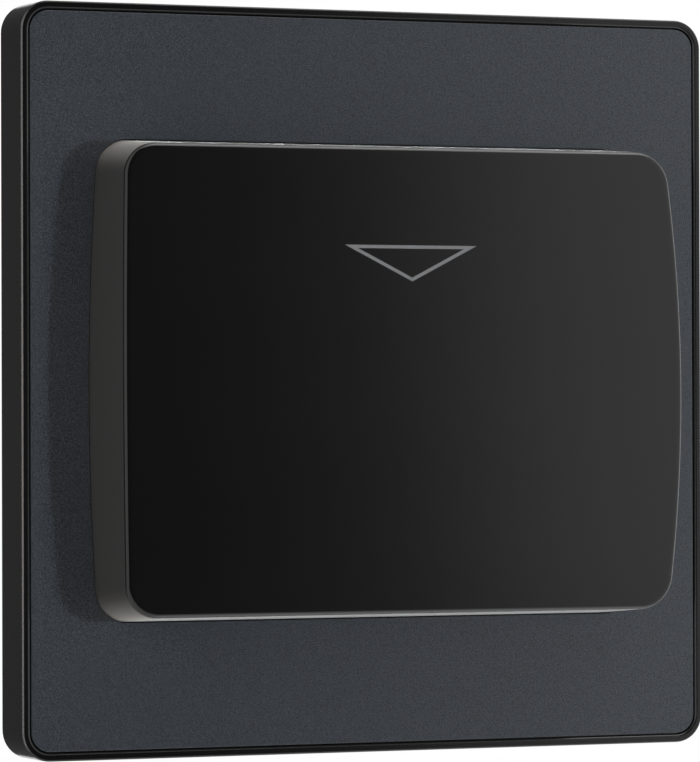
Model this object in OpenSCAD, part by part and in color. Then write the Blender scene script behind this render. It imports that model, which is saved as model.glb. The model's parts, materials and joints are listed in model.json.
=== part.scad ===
// Hotel key card switch for a single-gang wall box.
// Millimetres. The wall is the plane Y = 0, the front faces -Y, +Z is up.
// The origin is the centre of the frame's back, on the wall.

/* [Wall frame] */
// Width and height of the square frame
frame_w = 95; // [92:0.5:104]
// Depth of the frame from the wall to its front rim
frame_d = 7.7; // [7:0.1:10]
// Corner radius of the frame's outline
frame_corner_r = 3.7; // [2.5:0.1:6]
// Width of the rim that surrounds the front plate
rim_w = 1.05; // [0.8:0.05:1.6]
// Thickness of the frame's side walls behind the rim
frame_wall = 1.8; // [1.4:0.1:2.6]
// Width of the ledge that the front plate rests on
ledge_w = 2.6; // [2:0.1:3.2]
// Thickness of the deck across the frame
deck_t = 2; // [1.6:0.1:2.3]
// Thickness of the stiffening ribs behind the deck
rib_t = 1.2; // [0.8:0.1:2]
// Distance of the ribs from the frame's centre
rib_pos = 37; // [35.5:0.5:40]
// Gap between the ribs and the wall
rib_wall_gap = 0.6; // [0.2:0.1:1]

/* [Wall fixing] */
// Distance between the two wall screw holes
fixing_pitch = 60.3; // [60:0.1:61]
// Radius of a wall screw hole
fixing_hole_r = 2; // [1.8:0.1:2.3]
// Radius of the recess for a wall screw's head
fixing_head_r = 3.7; // [3.2:0.1:4]
// Depth of the recess for a wall screw's head
fixing_head_d = 0.8; // [0.4:0.1:1]
// Radius of the pad around a wall screw hole
fixing_pad_r = 4.4; // [4.1:0.1:4.8]

/* [Front plate] */
// Thickness of the front plate
plate_t = 1.6; // [1.2:0.1:2]
// How far the front plate lies below the rim
plate_sink = 0.15; // [0.05:0.05:0.4]
// Radius of the pegs behind the front plate
peg_r = 1; // [0.7:0.1:1.2]
// Height of the pegs above and below the middle
peg_z = 14; // [8:1:20]

/* [Card housing] */
// Distance from the frame's edge to the housing's side at its widest
housing_margin = 9; // [8.6:0.1:12]
// Height of the housing at the plate
housing_h = 60.6; // [60:0.1:63]
// How far the housing's top and bottom lean in from the plate to the front
housing_draft = 0.8; // [0.3:0.1:1.6]
// How far the housing's front stands out beyond the rim
housing_rise = 12.15; // [11.8:0.05:16]
// Radius of the bow of the housing's left and right sides
bow_r = 400; // [250:10:900]
// Height of the bow's widest point
bow_z = -1.1; // [-4:0.1:4]
// Radius of the arch of the housing's front
arch_r = 202; // [180:1:400]
// Height of the arch's crest
arch_z = -2.3; // [-5:0.1:5]
// Radius of the housing's corners, seen from the front
housing_corner_r = 4.4; // [3:0.1:6]
// Radius of the rounded edge around the housing's front
edge_r = 0.55; // [0.3:0.05:1]
// Wall of the housing
housing_wall = 1.8; // [1.4:0.1:2]
// Width of the flange behind the front plate
flange_w = 4; // [3.6:0.1:4.4]
// Thickness of the flange behind the front plate
flange_t = 1.4; // [1:0.1:1.6]
// Width of the push-fit prongs that hold the cover on the frame
prong_w = 8; // [5:0.5:12]
// Thickness of the push-fit prongs
prong_t = 1.6; // [1.2:0.1:1.8]
// Length of the push-fit prongs behind the flange
prong_l = 3.4; // [2.6:0.1:3.8]

/* [Card pocket] */
// Width of the key card
card_w = 54; // [53:0.1:55]
// Room for the card on each side
card_play = 0.9; // [0.5:0.1:1.5]
// Thickness of the pocket's back panel
panel_t = 1.5; // [1.2:0.1:2]
// Thickness of the card rails
rail_t = 1.6; // [1.2:0.1:2]
// Thickness of the ledge that the card stops on
card_ledge_t = 2.2; // [1.6:0.1:3]
// Length of the card's ledge on each side of the lever
card_ledge_l = 9; // [5:0.5:11]
// Thickness of the ribs inside the housing's front
card_rib_t = 1.2; // [0.8:0.1:2]
// Distance of the ribs to the left and right of the middle
card_rib_x = 15; // [11:0.5:22]
// How far the card rails end below the panel's top edge
rail_short = 1; // [0.5:0.1:2]

/* [Guide fixing] */
// Distance of the guide screws to the left and right of the middle
guide_screw_x = 22; // [19:0.5:24]
// Distance of the guide screws from the panel's bottom edge
guide_screw_in = 2.8; // [2.6:0.1:3.2]
// Distance of the hooks behind the panel's top edge from the middle
hook_x = 20; // [12:0.5:28]
// Width of a hook
hook_w = 6; // [4:0.5:10]
// Thickness of a hook
hook_t = 1.4; // [1:0.1:2]
// How far a hook reaches down behind the panel
hook_l = 1.8; // [1.2:0.1:3]
// Radius of the bosses for the guide screws
guide_boss_r = 2.2; // [2:0.1:2.5]
// Radius of a guide screw's shank
guide_screw_r = 1; // [0.8:0.05:1.2]
// Radius of a guide screw's head
guide_head_r = 2; // [1.7:0.1:2.3]
// Height of a guide screw's head
guide_head_h = 1.3; // [1:0.1:1.6]
// Length of a guide screw under its head
guide_screw_l = 5; // [4:0.1:6]

/* [Card lever] */
// Half width of the lever
lever_half_w = 6.5; // [5.5:0.1:7.5]
// Thickness of each side of the lever
cheek_t = 3.6; // [3:0.1:4]
// Radius of the lever's hubs
hub_r = 2.1; // [1.9:0.1:2.3]
// Thickness of the arm that the card pushes
arm_t = 2.4; // [1.8:0.1:2.8]
// How far the lever turns, in degrees
lever_travel = 20; // [14:1:22]
// Radius of the lever's crossbar
crossbar_r = 0.9; // [0.7:0.1:1.1]
// Distance of the crossbar below the pivot
crossbar_drop = 5; // [4.4:0.1:5.4]
// Distance of the crossbar behind the pivot
crossbar_back = 3.1; // [2.9:0.1:3.4]
// Radius of the lever's pin
pin_r = 1; // [0.8:0.05:1.2]
// Thickness of the ears that hold the pin
ear_t = 2.4; // [1.8:0.1:3]
// Wire diameter of the return spring
spring_wire = 0.5; // [0.3:0.05:0.5]
// Distance between the return spring's turns
spring_pitch = 1; // [0.95:0.05:1.2]
// Whole turns of the return spring
spring_turns = 3; // [2:1:3]
// Length of the spring's leg under the arm
spring_front_leg = 5; // [3.5:0.1:6]

/* [Microswitch] */
// Distance of the solder pins from the switch's ends
switch_end = 0.9; // [0.7:0.1:2]
// Height of the switch above the board
switch_h = 6.5; // [5.5:0.1:8]
// Width of the switch
switch_w = 5.8; // [5:0.1:6.4]
// Radius of the switch's two front corners
switch_corner_r = 0.6; // [0.3:0.1:0.8]
// Radius of the two mounting holes through the switch
switch_hole_r = 1; // [0.8:0.05:1]
// Distance between the mounting holes
switch_hole_pitch = 6.5; // [6.5:0.1:7]
// Distance of the mounting holes from the board
switch_hole_up = 1.6; // [1.5:0.1:2]
// Length of the button
button_l = 3.2; // [2.4:0.1:4]
// Width of the button
button_w = 4; // [3.2:0.1:4.4]
// Radius of the button's two front edges
button_tip_r = 0.5; // [0.3:0.1:0.8]
// How far the button stands out of the switch at rest
button_proud = 2; // [1.9:0.05:2.6]
// Depth of the button's stem inside the switch
button_stem = 2.6; // [2.2:0.1:3.2]
// Radius of the switch's solder pins
lead_r = 0.45; // [0.3:0.05:0.6]
// How far the solder pins stand out behind the board
lead_tail = 1.4; // [0.8:0.1:2]

/* [Rear case] */
// Width of the case that goes into the wall box
case_w = 50; // [48:0.5:50.5]
// Height of the case
case_h = 58; // [57:0.5:60]
// Wall of the case
case_wall = 1.6; // [1.2:0.1:2]
// Corner radius of the case
case_corner_r = 3; // [2:0.1:5]
// Radius of the screw bosses in the case's corners
case_boss_r = 3; // [2.6:0.1:3.4]
// Distance of the boss centres from the case's outside
case_boss_in = 4; // [3.8:0.1:4.4]
// Length of the screw bosses
case_boss_l = 12; // [9:0.5:14]
// Radius of a case screw's shank
case_screw_r = 1.4; // [1.2:0.05:1.6]
// Radius of a case screw's head
case_head_r = 2.7; // [2.3:0.1:3]
// Height of a case screw's countersunk head
case_head_h = 1.4; // [1.2:0.1:1.5]
// Length of a case screw
case_screw_l = 9; // [7:0.5:10]
// Width of the rails that the board rests on
board_rail_w = 5; // [4.6:0.1:5.6]
// Depth of the rails that the board rests on
board_rail_d = 5; // [4.5:0.1:7]
// Length of the rails that the board rests on
board_rail_l = 14; // [12:0.5:16]

/* [Circuit board] */
// Thickness of the board
board_t = 1.6; // [1.2:0.1:2]
// Height of the board screws
board_screw_z = 2; // [-2:0.5:6]
// Radius of a board screw's shank
board_screw_r = 1; // [0.8:0.05:1.2]
// Radius of a board screw's head
board_head_r = 2; // [1.7:0.1:2.2]
// Height of a board screw's head
board_head_h = 1.2; // [1:0.1:1.6]
// Length of a board screw under its head
board_screw_l = 5; // [4:0.1:6]
// Width of the relay
relay_w = 19; // [15:0.5:20]
// Height of the relay
relay_h = 15.5; // [12:0.5:16]
// Depth of the relay
relay_d = 11.6; // [9:0.1:11.8]
// Thickness of the relay's base
relay_base_t = 1.2; // [0.8:0.1:2]
// How far the relay's cover is drawn in from its base
relay_step = 0.3; // [0.2:0.05:0.6]
// Corner radius of the relay's cover
relay_corner_r = 1; // [0.5:0.1:2]
// Width of the film capacitor
film_w = 15; // [12:0.5:15]
// Height of the film capacitor
film_h = 8; // [6:0.5:9]
// Depth of the film capacitor
film_d = 11; // [8:0.1:11.8]
// Corner radius of the film capacitor
film_corner_r = 0.8; // [0.4:0.1:1.5]
// Height of the feet under the film capacitor
film_foot_h = 0.5; // [0.3:0.1:1]
// Width of the feet under the film capacitor
film_foot_w = 2; // [1:0.1:3]
// Radius of the smoothing capacitor
smooth_r = 4; // [3:0.1:4.5]
// Depth of the smoothing capacitor
smooth_d = 11; // [8:0.1:11.8]
// Height of the rolled groove round the smoothing capacitor
smooth_groove_at = 1.4; // [1:0.1:2]
// Width of the rolled groove
smooth_groove_w = 0.9; // [0.6:0.1:1.4]
// Depth of the rolled groove
smooth_groove_d = 0.4; // [0.2:0.05:0.6]
// Width of the sleeve's rim over the smoothing capacitor's end
smooth_rim_w = 0.9; // [0.6:0.1:1.5]
// Depth of the end inside the rim
smooth_rim_d = 0.35; // [0.2:0.05:0.5]
// Radius of the varistor disc
varistor_r = 4; // [3:0.1:4.5]
// Thickness of the varistor disc
varistor_t = 3.6; // [2.5:0.1:4.5]
// Radius of the varistor's rounded rim
varistor_edge_r = 1.2; // [0.5:0.1:1.2]
// Distance between the varistor's legs
varistor_leg_pitch = 5; // [3.5:0.1:5]
// Radius of the varistor's and the resistor's legs
leg_r = 0.4; // [0.3:0.05:0.5]
// Height of the varistor and the resistor above the board
leg_h = 0.8; // [0.5:0.1:1.2]
// Length of the timer chip
chip_l = 9.6; // [7:0.1:10.5]
// Width of the timer chip
chip_w = 6.4; // [5:0.1:7]
// Height of the timer chip
chip_h = 3.4; // [2.5:0.1:4]
// Width of the chip's body between its rows of legs
chip_body_w = 4.4; // [3:0.1:4.6]
// Height of the chip's body above the board
chip_lift = 0.3; // [0.1:0.1:0.6]
// Legs in each of the chip's two rows
chip_legs = 4; // [2:1:4]
// Distance between the chip's legs
chip_leg_pitch = 2.3; // [1.5:0.05:2.3]
// Width of a chip's leg
chip_leg_w = 0.6; // [0.3:0.05:0.8]
// Thickness of a chip's leg
chip_leg_t = 0.3; // [0.2:0.05:0.4]
// Radius of the notch in the chip's end
chip_notch_r = 0.7; // [0.4:0.1:1]
// Length of the power resistor over its legs
resistor_l = 10; // [7:0.1:11]
// Length of each leg beside the resistor's body
resistor_leg_l = 1.2; // [1:0.1:1.5]
// Radius of the power resistor's caps
resistor_r = 1.9; // [1.4:0.1:2.2]
// Length of the power resistor's caps
resistor_cap_l = 1.7; // [1:0.1:2]
// Depth of the power resistor's waist between the caps
resistor_waist = 0.35; // [0.2:0.05:0.6]

/* [Terminals] */
// Distance between the wire terminals
terminal_pitch = 11; // [9.5:0.1:11.2]
// Width of a terminal
terminal_w = 8; // [7.4:0.1:8.8]
// Length of a terminal along its wire bore
terminal_l = 9; // [8:0.1:9.6]
// Depth of a terminal
terminal_d = 8; // [7.4:0.1:8.2]
// Radius of a wire bore
wire_r = 2; // [1.6:0.1:2.2]
// Radius of a terminal screw's shank
terminal_screw_r = 1.6; // [1.4:0.05:1.8]
// Radius of a terminal screw's head
terminal_head_r = 2.9; // [2.4:0.1:3.1]
// Height of a terminal screw's head
terminal_head_h = 2.2; // [1.8:0.1:2.4]

/* [Clearances] */
// Gap between the switch and the rear case's floor
switch_floor_gap = 1.5; // [1:0.1:2.5]
// Gap between the pocket's back panel and the inside of the housing
panel_fit_gap = 0.4; // [0.3:0.05:0.6]
// Gap between the parts on the board
parts_gap = 1.5; // [1:0.1:2]
// Gap between the tallest part on the board and the rear case
parts_back_gap = 0.7; // [0.3:0.1:2]
// Gap between the prongs and the rear case's sides, seen from the front
prong_case_gap = 1; // [0.5:0.1:3]
// Gap between the front plate and the rim
plate_gap = 0.17; // [0.1:0.01:0.3]
// Gap between the housing and the front plate's cut-out
housing_gap = 0.1; // [0.06:0.01:0.3]
// Gap between the flange and the deck
seat_gap = 0.15; // [0.05:0.05:0.3]
// Gap around the push-fit prongs
prong_gap = 0.1; // [0.05:0.01:0.2]
// Gap beside and around the lever
lever_gap = 0.3; // [0.2:0.05:0.5]
// Gap between the lever's hub and the pocket's back panel
panel_gap = 0.6; // [0.5:0.05:0.8]
// Radial gap of the pin in the lever
pin_run_gap = 0.05; // [0.03:0.01:0.08]
// Radial gap of the pin in its ears
pin_seat_gap = 0.02; // [0.01:0.01:0.03]
// Gap between the crossbar and the button at rest
button_gap = 0.15; // [0.1:0.05:0.2]
// Gap around the button's stem and other sliding or dropped-in parts
slip_gap = 0.2; // [0.1:0.05:0.25]
// Radial gap of a screw's shank in its hole
screw_gap = 0.05; // [0.02:0.01:0.1]

/* [Hidden] */
$fn = 64;
// A cut runs this far past the faces that it opens
past = 1;
// Points on a rounded corner and on a bowed side of the housing
corner_steps = 7;
bow_steps = 10;
edge_steps = 4;

// Levels from front to back
rim_y = -frame_d;
plate_y0 = rim_y + plate_sink;
plate_y1 = plate_y0 + plate_t;
flange_y1 = plate_y1 + flange_t;
deck_y0 = flange_y1 + seat_gap;
deck_y1 = deck_y0 + deck_t;
lever_y = deck_y0 - hub_r - lever_gap;
panel_y1 = lever_y - hub_r - panel_gap;
panel_y0 = panel_y1 - panel_t;
crossbar_y = lever_y + crossbar_back;
crossbar_z = -case_h / 2 + case_wall + switch_floor_gap + switch_w / 2;
lever_z = crossbar_z + crossbar_drop;
button_y0 = crossbar_y + crossbar_r + button_gap;
switch_y0 = button_y0 + button_proud;
board_y0 = switch_y0 + switch_h;
board_y1 = board_y0 + board_t;
terminal_head_y1 = board_y1 + terminal_d + screw_gap + terminal_head_h;
tallest_d = max(relay_d, film_d, smooth_d, leg_h + 2 * varistor_r);
case_y1 = max(board_y1 + tallest_d, terminal_head_y1) + parts_back_gap;

// Outlines of the frame, the plate and the housing
recess_w = frame_w - 2 * rim_w;
recess_corner_r = frame_corner_r - rim_w;
plate_w = recess_w - 2 * plate_gap;
plate_corner_r = recess_corner_r - plate_gap;
ledge_in_w = recess_w - 2 * ledge_w;
hollow_w = frame_w - 2 * frame_wall;
housing_w = frame_w - 2 * housing_margin;
housing_front_h = housing_h - 2 * housing_draft;
panel_top = housing_front_h / 2 - housing_wall - panel_fit_gap;
guide_screw_z = guide_screw_in - panel_top;

// The housing's front at a height, and the pocket that fits under its edges
function front_y(z) = rim_y - housing_rise + pow(z - arch_z, 2) / (2 * arch_r);
rib_gap = 0.1;
pocket_y0 = max(front_y(housing_front_h / 2), front_y(-housing_front_h / 2)) + housing_wall + rib_gap;
pocket_half_w = card_w / 2 + card_play;
arm_tip_y = pocket_y0 + lever_gap;
ear_x0 = lever_half_w + lever_gap;
ear_x1 = ear_x0 + ear_t;
// The arm's underside at full travel, seen at its tip
arm_sweep = (lever_y - arm_tip_y) * sin(lever_travel) + arm_t / 2;
// The card stops where its edge has pushed the arm all the way
card_stop_z = lever_z + arm_t / 2 * cos(lever_travel) - (lever_y - pocket_y0) * sin(lever_travel);
// The spring's front leg lies just under the arm
spring_leg_gap = 0.05;
spring_mean_r = arm_t / 2 + spring_wire / 2 + spring_leg_gap;
spring_half_w = lever_half_w - cheek_t;

case_boss_x = case_w / 2 - case_boss_in;
case_boss_z = case_h / 2 - case_boss_in;
case_in_w = case_w - 2 * case_wall;
case_in_h = case_h - 2 * case_wall;
board_w = case_in_w - 2 * slip_gap;
board_h = case_in_h - 2 * slip_gap;
board_screw_x = case_in_w / 2 - board_rail_w / 2;
flange_mid_x = bow_x(peg_z) + flange_w / 2;
prong_x = case_w / 2 + prong_case_gap + prong_w / 2;
prong_z = housing_h / 2 + flange_w / 2;

terminal_count = 3;
terminal_y = board_y1 + terminal_d / 2;
terminal_z0 = -case_in_h / 2 + 2 * slip_gap;
terminal_z = terminal_z0 + terminal_l / 2;

// A slab between two depths, from a drawing of its front
module slab(y0, y1) {
    translate([0, y1, 0]) rotate([90, 0, 0]) linear_extrude(y1 - y0) children();
}

// A profile seen from the right, extruded to the left and right of the middle
module profile_x(x0, x1) {
    translate([x0, 0, 0]) rotate([90, 0, 90]) linear_extrude(x1 - x0) children();
}

module block(x0, x1, y0, y1, z0, z1) {
    translate([x0, y0, z0]) cube([x1 - x0, y1 - y0, z1 - z0]);
}

module rod_y(x, z, r, y0, y1) {
    translate([x, y1, z]) rotate([90, 0, 0]) cylinder(r = r, h = y1 - y0);
}

module rod_x(y, z, r, x0, x1) {
    translate([x0, y, z]) rotate([0, 90, 0]) cylinder(r = r, h = x1 - x0);
}

module rod_z(x, y, r, z0, z1) {
    translate([x, y, z0]) cylinder(r = r, h = z1 - z0);
}

module rounded_rect(w, h, r) {
    square([w - 2 * r, h], center = true);
    square([w, h - 2 * r], center = true);
    for (x = [-1, 1], z = [-1, 1]) {
        translate([x * (w / 2 - r), z * (h / 2 - r)]) circle(r);
    }
}

// A bar between two round ends of different radius, drawn in two dimensions
module link2d(a, ra, b, rb) {
    d = b - a;
    turn = atan2(d[1], d[0]);
    lean = acos((ra - rb) / norm(d));
    function edge_point(c, r, s) = c + r * [cos(turn + s * lean), sin(turn + s * lean)];
    translate(a) circle(ra);
    translate(b) circle(rb);
    polygon([edge_point(a, ra, 1), edge_point(b, rb, 1), edge_point(b, rb, -1), edge_point(a, ra, -1)]);
}

// The housing's half width at a height
function bow_x(z) = housing_w / 2 - pow(z - bow_z, 2) / (2 * bow_r);

// Right half of the housing's outline from bottom to top, drawn in by an inset
function half_outline(h, inset) =
    let (top = h / 2 - inset)
    let (r = max(housing_corner_r - inset, edge_r))
    let (corner_z = top - r)
    concat(
        [for (i = [0:corner_steps])
            let (a = -90 + 90 * i / corner_steps)
            [bow_x(-corner_z) - inset - r + r * cos(a), -corner_z + r * sin(a)]],
        [for (i = [1:bow_steps - 1])
            let (z = -corner_z + 2 * corner_z * i / bow_steps)
            [bow_x(z) - inset, z]],
        [for (i = [0:corner_steps])
            let (a = 90 * i / corner_steps)
            [bow_x(corner_z) - inset - r + r * cos(a), corner_z + r * sin(a)]]
    );

half_count = 2 * (corner_steps + 1) + bow_steps - 1;

function mirrored(half) = [for (i = [half_count - 1:-1:0]) [-half[i][0], half[i][1]]];

module housing_outline(h, inset) {
    half = half_outline(h, inset);
    polygon(concat(half, mirrored(half)));
}

// A closed ring of points, flat at a depth, or that far behind the arched front
function flat_ring(half, y) = [for (p = concat(half, mirrored(half))) [p[0], y, p[1]]];
function arched_ring(half, back) =
    [for (p = concat(half, mirrored(half))) [p[0], front_y(p[1]) + back, p[1]]];

// A solid through rings of points: flat at the back, closed in strips over the arched front
module loft(rings) {
    n = 2 * half_count;
    last = (len(rings) - 1) * n;
    sides = [for (k = [0:len(rings) - 2], i = [0:n - 1])
        let (j = (i + 1) % n)
        each [[k * n + i, (k + 1) * n + i, k * n + j], [k * n + j, (k + 1) * n + i, (k + 1) * n + j]]];
    front = [for (i = [0:half_count - 2])
        let (a = last + i)
        let (b = last + n - 1 - i)
        each [[a, b, a + 1], [a + 1, b, b - 1]]];
    back = [for (i = [0:half_count - 2])
        each [[i, i + 1, n - 1 - i], [i + 1, n - 2 - i, n - 1 - i]]];
    points = [for (ring = rings) each ring];
    polyhedron(points, concat(sides, front, back));
}

module housing_body() {
    rounding = [for (i = [0:edge_steps])
        let (a = 90 * i / edge_steps)
        arched_ring(half_outline(housing_front_h, edge_r * (1 - cos(a))), edge_r * (1 - sin(a)))];
    loft(concat([flat_ring(half_outline(housing_h, 0), plate_y1 + flange_t / 2)], rounding));
}

module housing_hollow() {
    loft([
        flat_ring(half_outline(housing_h, housing_wall), flange_y1 + past),
        arched_ring(half_outline(housing_front_h, housing_wall), housing_wall)
    ]);
}

module wall_frame() color("#242527") {
    pad_y0 = deck_y1 - deck_t / 2;
    difference() {
        union() {
            difference() {
                slab(rim_y, 0) rounded_rect(frame_w, frame_w, frame_corner_r);
                slab(rim_y - past, plate_y1) rounded_rect(recess_w, recess_w, recess_corner_r);
                slab(plate_y1 - past, deck_y0) square(ledge_in_w, center = true);
                slab(deck_y1, past) square(hollow_w, center = true);
            }
            for (s = [-1, 1]) {
                rod_y(s * fixing_pitch / 2, 0, fixing_pad_r, pad_y0, 0);
                stiffener(s);
                pin_ear(s);
            }
        }
        for (s = [-1, 1]) {
            rod_y(s * fixing_pitch / 2, 0, fixing_hole_r, deck_y0 - past, past);
            rod_y(s * fixing_pitch / 2, 0, fixing_head_r, deck_y0 - past, deck_y0 + fixing_head_d);
        }
        lever_window(deck_y0 - past, deck_y1 + past);
        for (x = [-1, 1], z = [-1, 1]) {
            countersink(x * case_boss_x, z * case_boss_z);
            prong_slot(x * prong_x, z * prong_z);
        }
        rod_x(lever_y, lever_z, pin_r + pin_seat_gap, -ear_x1 - past, ear_x1 + past);
        slab(deck_y1, past) rounded_rect(case_w + 2 * slip_gap, case_h + 2 * slip_gap, case_corner_r);
    }
}

// Two ribs behind the deck, from wall to wall
module stiffener(s) {
    at = s * rib_pos;
    reach = hollow_w / 2 + frame_wall / 2;
    rib_y0 = deck_y1 - deck_t / 2;
    block(-reach, reach, rib_y0, -rib_wall_gap, at - rib_t / 2, at + rib_t / 2);
}

// An ear on the deck that holds one end of the lever's pin
module pin_ear(s) {
    profile_x(min(s * ear_x0, s * ear_x1), max(s * ear_x0, s * ear_x1)) {
        translate([lever_y, lever_z]) circle(hub_r);
        translate([lever_y, lever_z - hub_r]) square([deck_y0 + deck_t / 2 - lever_y, 2 * hub_r]);
    }
}

module lever_window(y0, y1) {
    z1 = lever_z + hub_r + lever_gap;
    z0 = crossbar_z - button_w / 2 - lever_gap;
    block(-ear_x0, ear_x0, y0, y1, z0, z1);
}

module countersink(x, z) {
    head_h = case_head_h + screw_gap;
    head_r = case_head_r + screw_gap;
    shank_r = case_screw_r + screw_gap;
    rod_y(x, z, shank_r, deck_y0 - past, deck_y1 + past);
    translate([x, deck_y0 + head_h, z]) rotate([90, 0, 0]) cylinder(r1 = shank_r, r2 = head_r, h = head_h);
}

module prong_slot(x, z) {
    w = prong_w / 2 + prong_gap;
    t = prong_t / 2 + prong_gap;
    block(x - w, x + w, deck_y0 - past, flange_y1 + prong_l + past, z - t, z + t);
}

module front_plate() color("#3e4247") {
    difference() {
        slab(plate_y0, plate_y1) rounded_rect(plate_w, plate_w, plate_corner_r);
        slab(plate_y0 - past, plate_y1 + past) housing_outline(housing_h, -housing_gap);
    }
    for (x = [-1, 1], z = [-1, 1]) {
        rod_y(x * flange_mid_x, z * peg_z, peg_r, plate_y1 - plate_t / 2, flange_y1);
    }
}

module card_housing() color("#1d1e20") {
    difference() {
        union() {
            difference() {
                union() {
                    housing_body();
                    slab(plate_y1, flange_y1) housing_outline(housing_h, -flange_w);
                }
                housing_hollow();
            }
            for (x = [-1, 1]) {
                housing_front_rib(x * card_rib_x);
                guide_boss(x * guide_screw_x);
                guide_hook(x * hook_x);
                for (z = [-1, 1]) {
                    prong(x * prong_x, z);
                }
            }
        }
        card_slot();
        for (x = [-1, 1]) {
            rod_y(x * guide_screw_x, guide_screw_z, guide_screw_r + screw_gap,
                panel_y1 - guide_screw_l - slip_gap, panel_y0 + past);
            for (z = [-1, 1]) {
                rod_y(x * flange_mid_x, z * peg_z, peg_r + screw_gap, plate_y1 - past, flange_y1 + past);
            }
        }
    }
}

// The slot in the top face that the card goes into
module card_slot() {
    block(-pocket_half_w, pocket_half_w, pocket_y0, panel_y0, panel_top, housing_h / 2 + past);
}

// A rib inside the front that keeps the card off the wall
module housing_front_rib(x) {
    reach = housing_front_h / 2 - housing_wall / 2;
    intersection() {
        block(x - card_rib_t / 2, x + card_rib_t / 2, rim_y - housing_rise, pocket_y0, -reach, reach);
        loft([
            flat_ring(half_outline(housing_h, housing_wall / 2), flange_y1 + past),
            arched_ring(half_outline(housing_front_h, housing_wall / 2), housing_wall / 2)
        ]);
    }
}

// A boss from the inside of the front to the back panel of the pocket
module guide_boss(x) {
    rod_y(x, guide_screw_z, guide_boss_r, front_y(guide_screw_z) + housing_wall / 2, panel_y0);
}

// A hook under the top wall that keeps the panel's top edge from moving back
module guide_hook(x) {
    y0 = panel_y1 + slip_gap;
    block(x - hook_w / 2, x + hook_w / 2, y0, y0 + hook_t,
        panel_top - hook_l, (housing_h - housing_wall) / 2);
}

// A push-fit prong behind the flange, with a wedge-shaped tip
module prong(x, s) {
    tip = prong_t / 2;
    root_y = flange_y1 - flange_t / 2;
    end_y = flange_y1 + prong_l;
    z = s * prong_z;
    profile_x(x - prong_w / 2, x + prong_w / 2) polygon([
        [root_y, z - prong_t / 2],
        [end_y - tip, z - prong_t / 2],
        [end_y, z - tip / 2],
        [end_y, z + tip / 2],
        [end_y - tip, z + prong_t / 2],
        [root_y, z + prong_t / 2]
    ]);
}

module card_guide() color("#2b2d30") {
    arm_room = arm_sweep + lever_gap;
    difference() {
        union() {
            slab(panel_y0, panel_y1) housing_outline(housing_front_h, housing_wall + panel_fit_gap);
            for (s = [-1, 1]) {
                card_rail(s);
                card_ledge(s);
            }
        }
        block(-ear_x0, ear_x0, panel_y0 - past, panel_y1 + past,
            lever_z - arm_room, lever_z + hub_r + 2 * lever_gap);
        lead_in();
        for (x = [-1, 1]) {
            rod_y(x * guide_screw_x, guide_screw_z, guide_screw_r + screw_gap,
                panel_y0 - past, panel_y1 + past);
        }
    }
}

// A rail beside the card
module card_rail(s) {
    x0 = pocket_half_w;
    x1 = pocket_half_w + rail_t;
    z0 = card_stop_z - card_ledge_t;
    block(min(s * x0, s * x1), max(s * x0, s * x1), pocket_y0 + rib_gap, panel_y0 + panel_t / 2,
        z0, panel_top - rail_short);
}

// The part of the card's stop on one side of the lever's arm
module card_ledge(s) {
    x0 = ear_x0;
    x1 = ear_x0 + card_ledge_l;
    block(min(s * x0, s * x1), max(s * x0, s * x1), pocket_y0 + rib_gap, panel_y0 + panel_t / 2,
        card_stop_z - card_ledge_t, card_stop_z);
}

// A bevel along the panel's top edge that leads the card in
module lead_in() {
    bevel = panel_t / 2;
    profile_x(-pocket_half_w, pocket_half_w) polygon([
        [panel_y0 - past, panel_top - 2 * bevel - past],
        [panel_y0 + bevel + past / 2, panel_top + past],
        [panel_y0 - past, panel_top + past]
    ]);
}

// A screw with a round head: the head's seat is at depth y, the shank runs to -Y or +Y
module pan_screw(x, z, y, dir, shank_r, shank_l, head_r, head_h) {
    rod_y(x, z, shank_r, min(y, y + dir * shank_l), max(y, y + dir * shank_l));
    rod_y(x, z, head_r, min(y, y - dir * head_h), max(y, y - dir * head_h));
}

module guide_screws() color("silver") {
    for (x = [-1, 1]) {
        pan_screw(x * guide_screw_x, guide_screw_z, panel_y1, -1,
            guide_screw_r, guide_screw_l, guide_head_r, guide_head_h);
    }
}

module card_lever() color("#d8d5cc") {
    arm_front = panel_y1 - lever_gap;
    difference() {
        union() {
            for (s = [-1, 1]) {
                lever_cheek(s);
            }
            lever_arm(arm_front);
            rod_x(crossbar_y, crossbar_z, crossbar_r, -lever_half_w, lever_half_w);
        }
        rod_x(lever_y, lever_z, pin_r + pin_run_gap, -lever_half_w - past, lever_half_w + past);
    }
}

// One side of the lever: hub, arm root and the leg to the crossbar
module lever_cheek(s) {
    x0 = spring_half_w;
    x1 = lever_half_w;
    profile_x(min(s * x0, s * x1), max(s * x0, s * x1)) {
        link2d([lever_y, lever_z], hub_r, [crossbar_y, crossbar_z], crossbar_r);
        translate([arm_tip_y + arm_t / 2, lever_z - arm_t / 2])
            square([lever_y - arm_tip_y - arm_t / 2, arm_t]);
    }
}

// The paddle that the card's edge pushes down
module lever_arm(y1) {
    profile_x(-lever_half_w, lever_half_w) {
        translate([arm_tip_y + arm_t / 2, lever_z]) circle(arm_t / 2);
        translate([arm_tip_y + arm_t / 2, lever_z - arm_t / 2]) square([y1 - arm_tip_y - arm_t / 2, arm_t]);
    }
}

module lever_pin() color("silver") rod_x(lever_y, lever_z, pin_r, -ear_x1, ear_x1);

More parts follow.
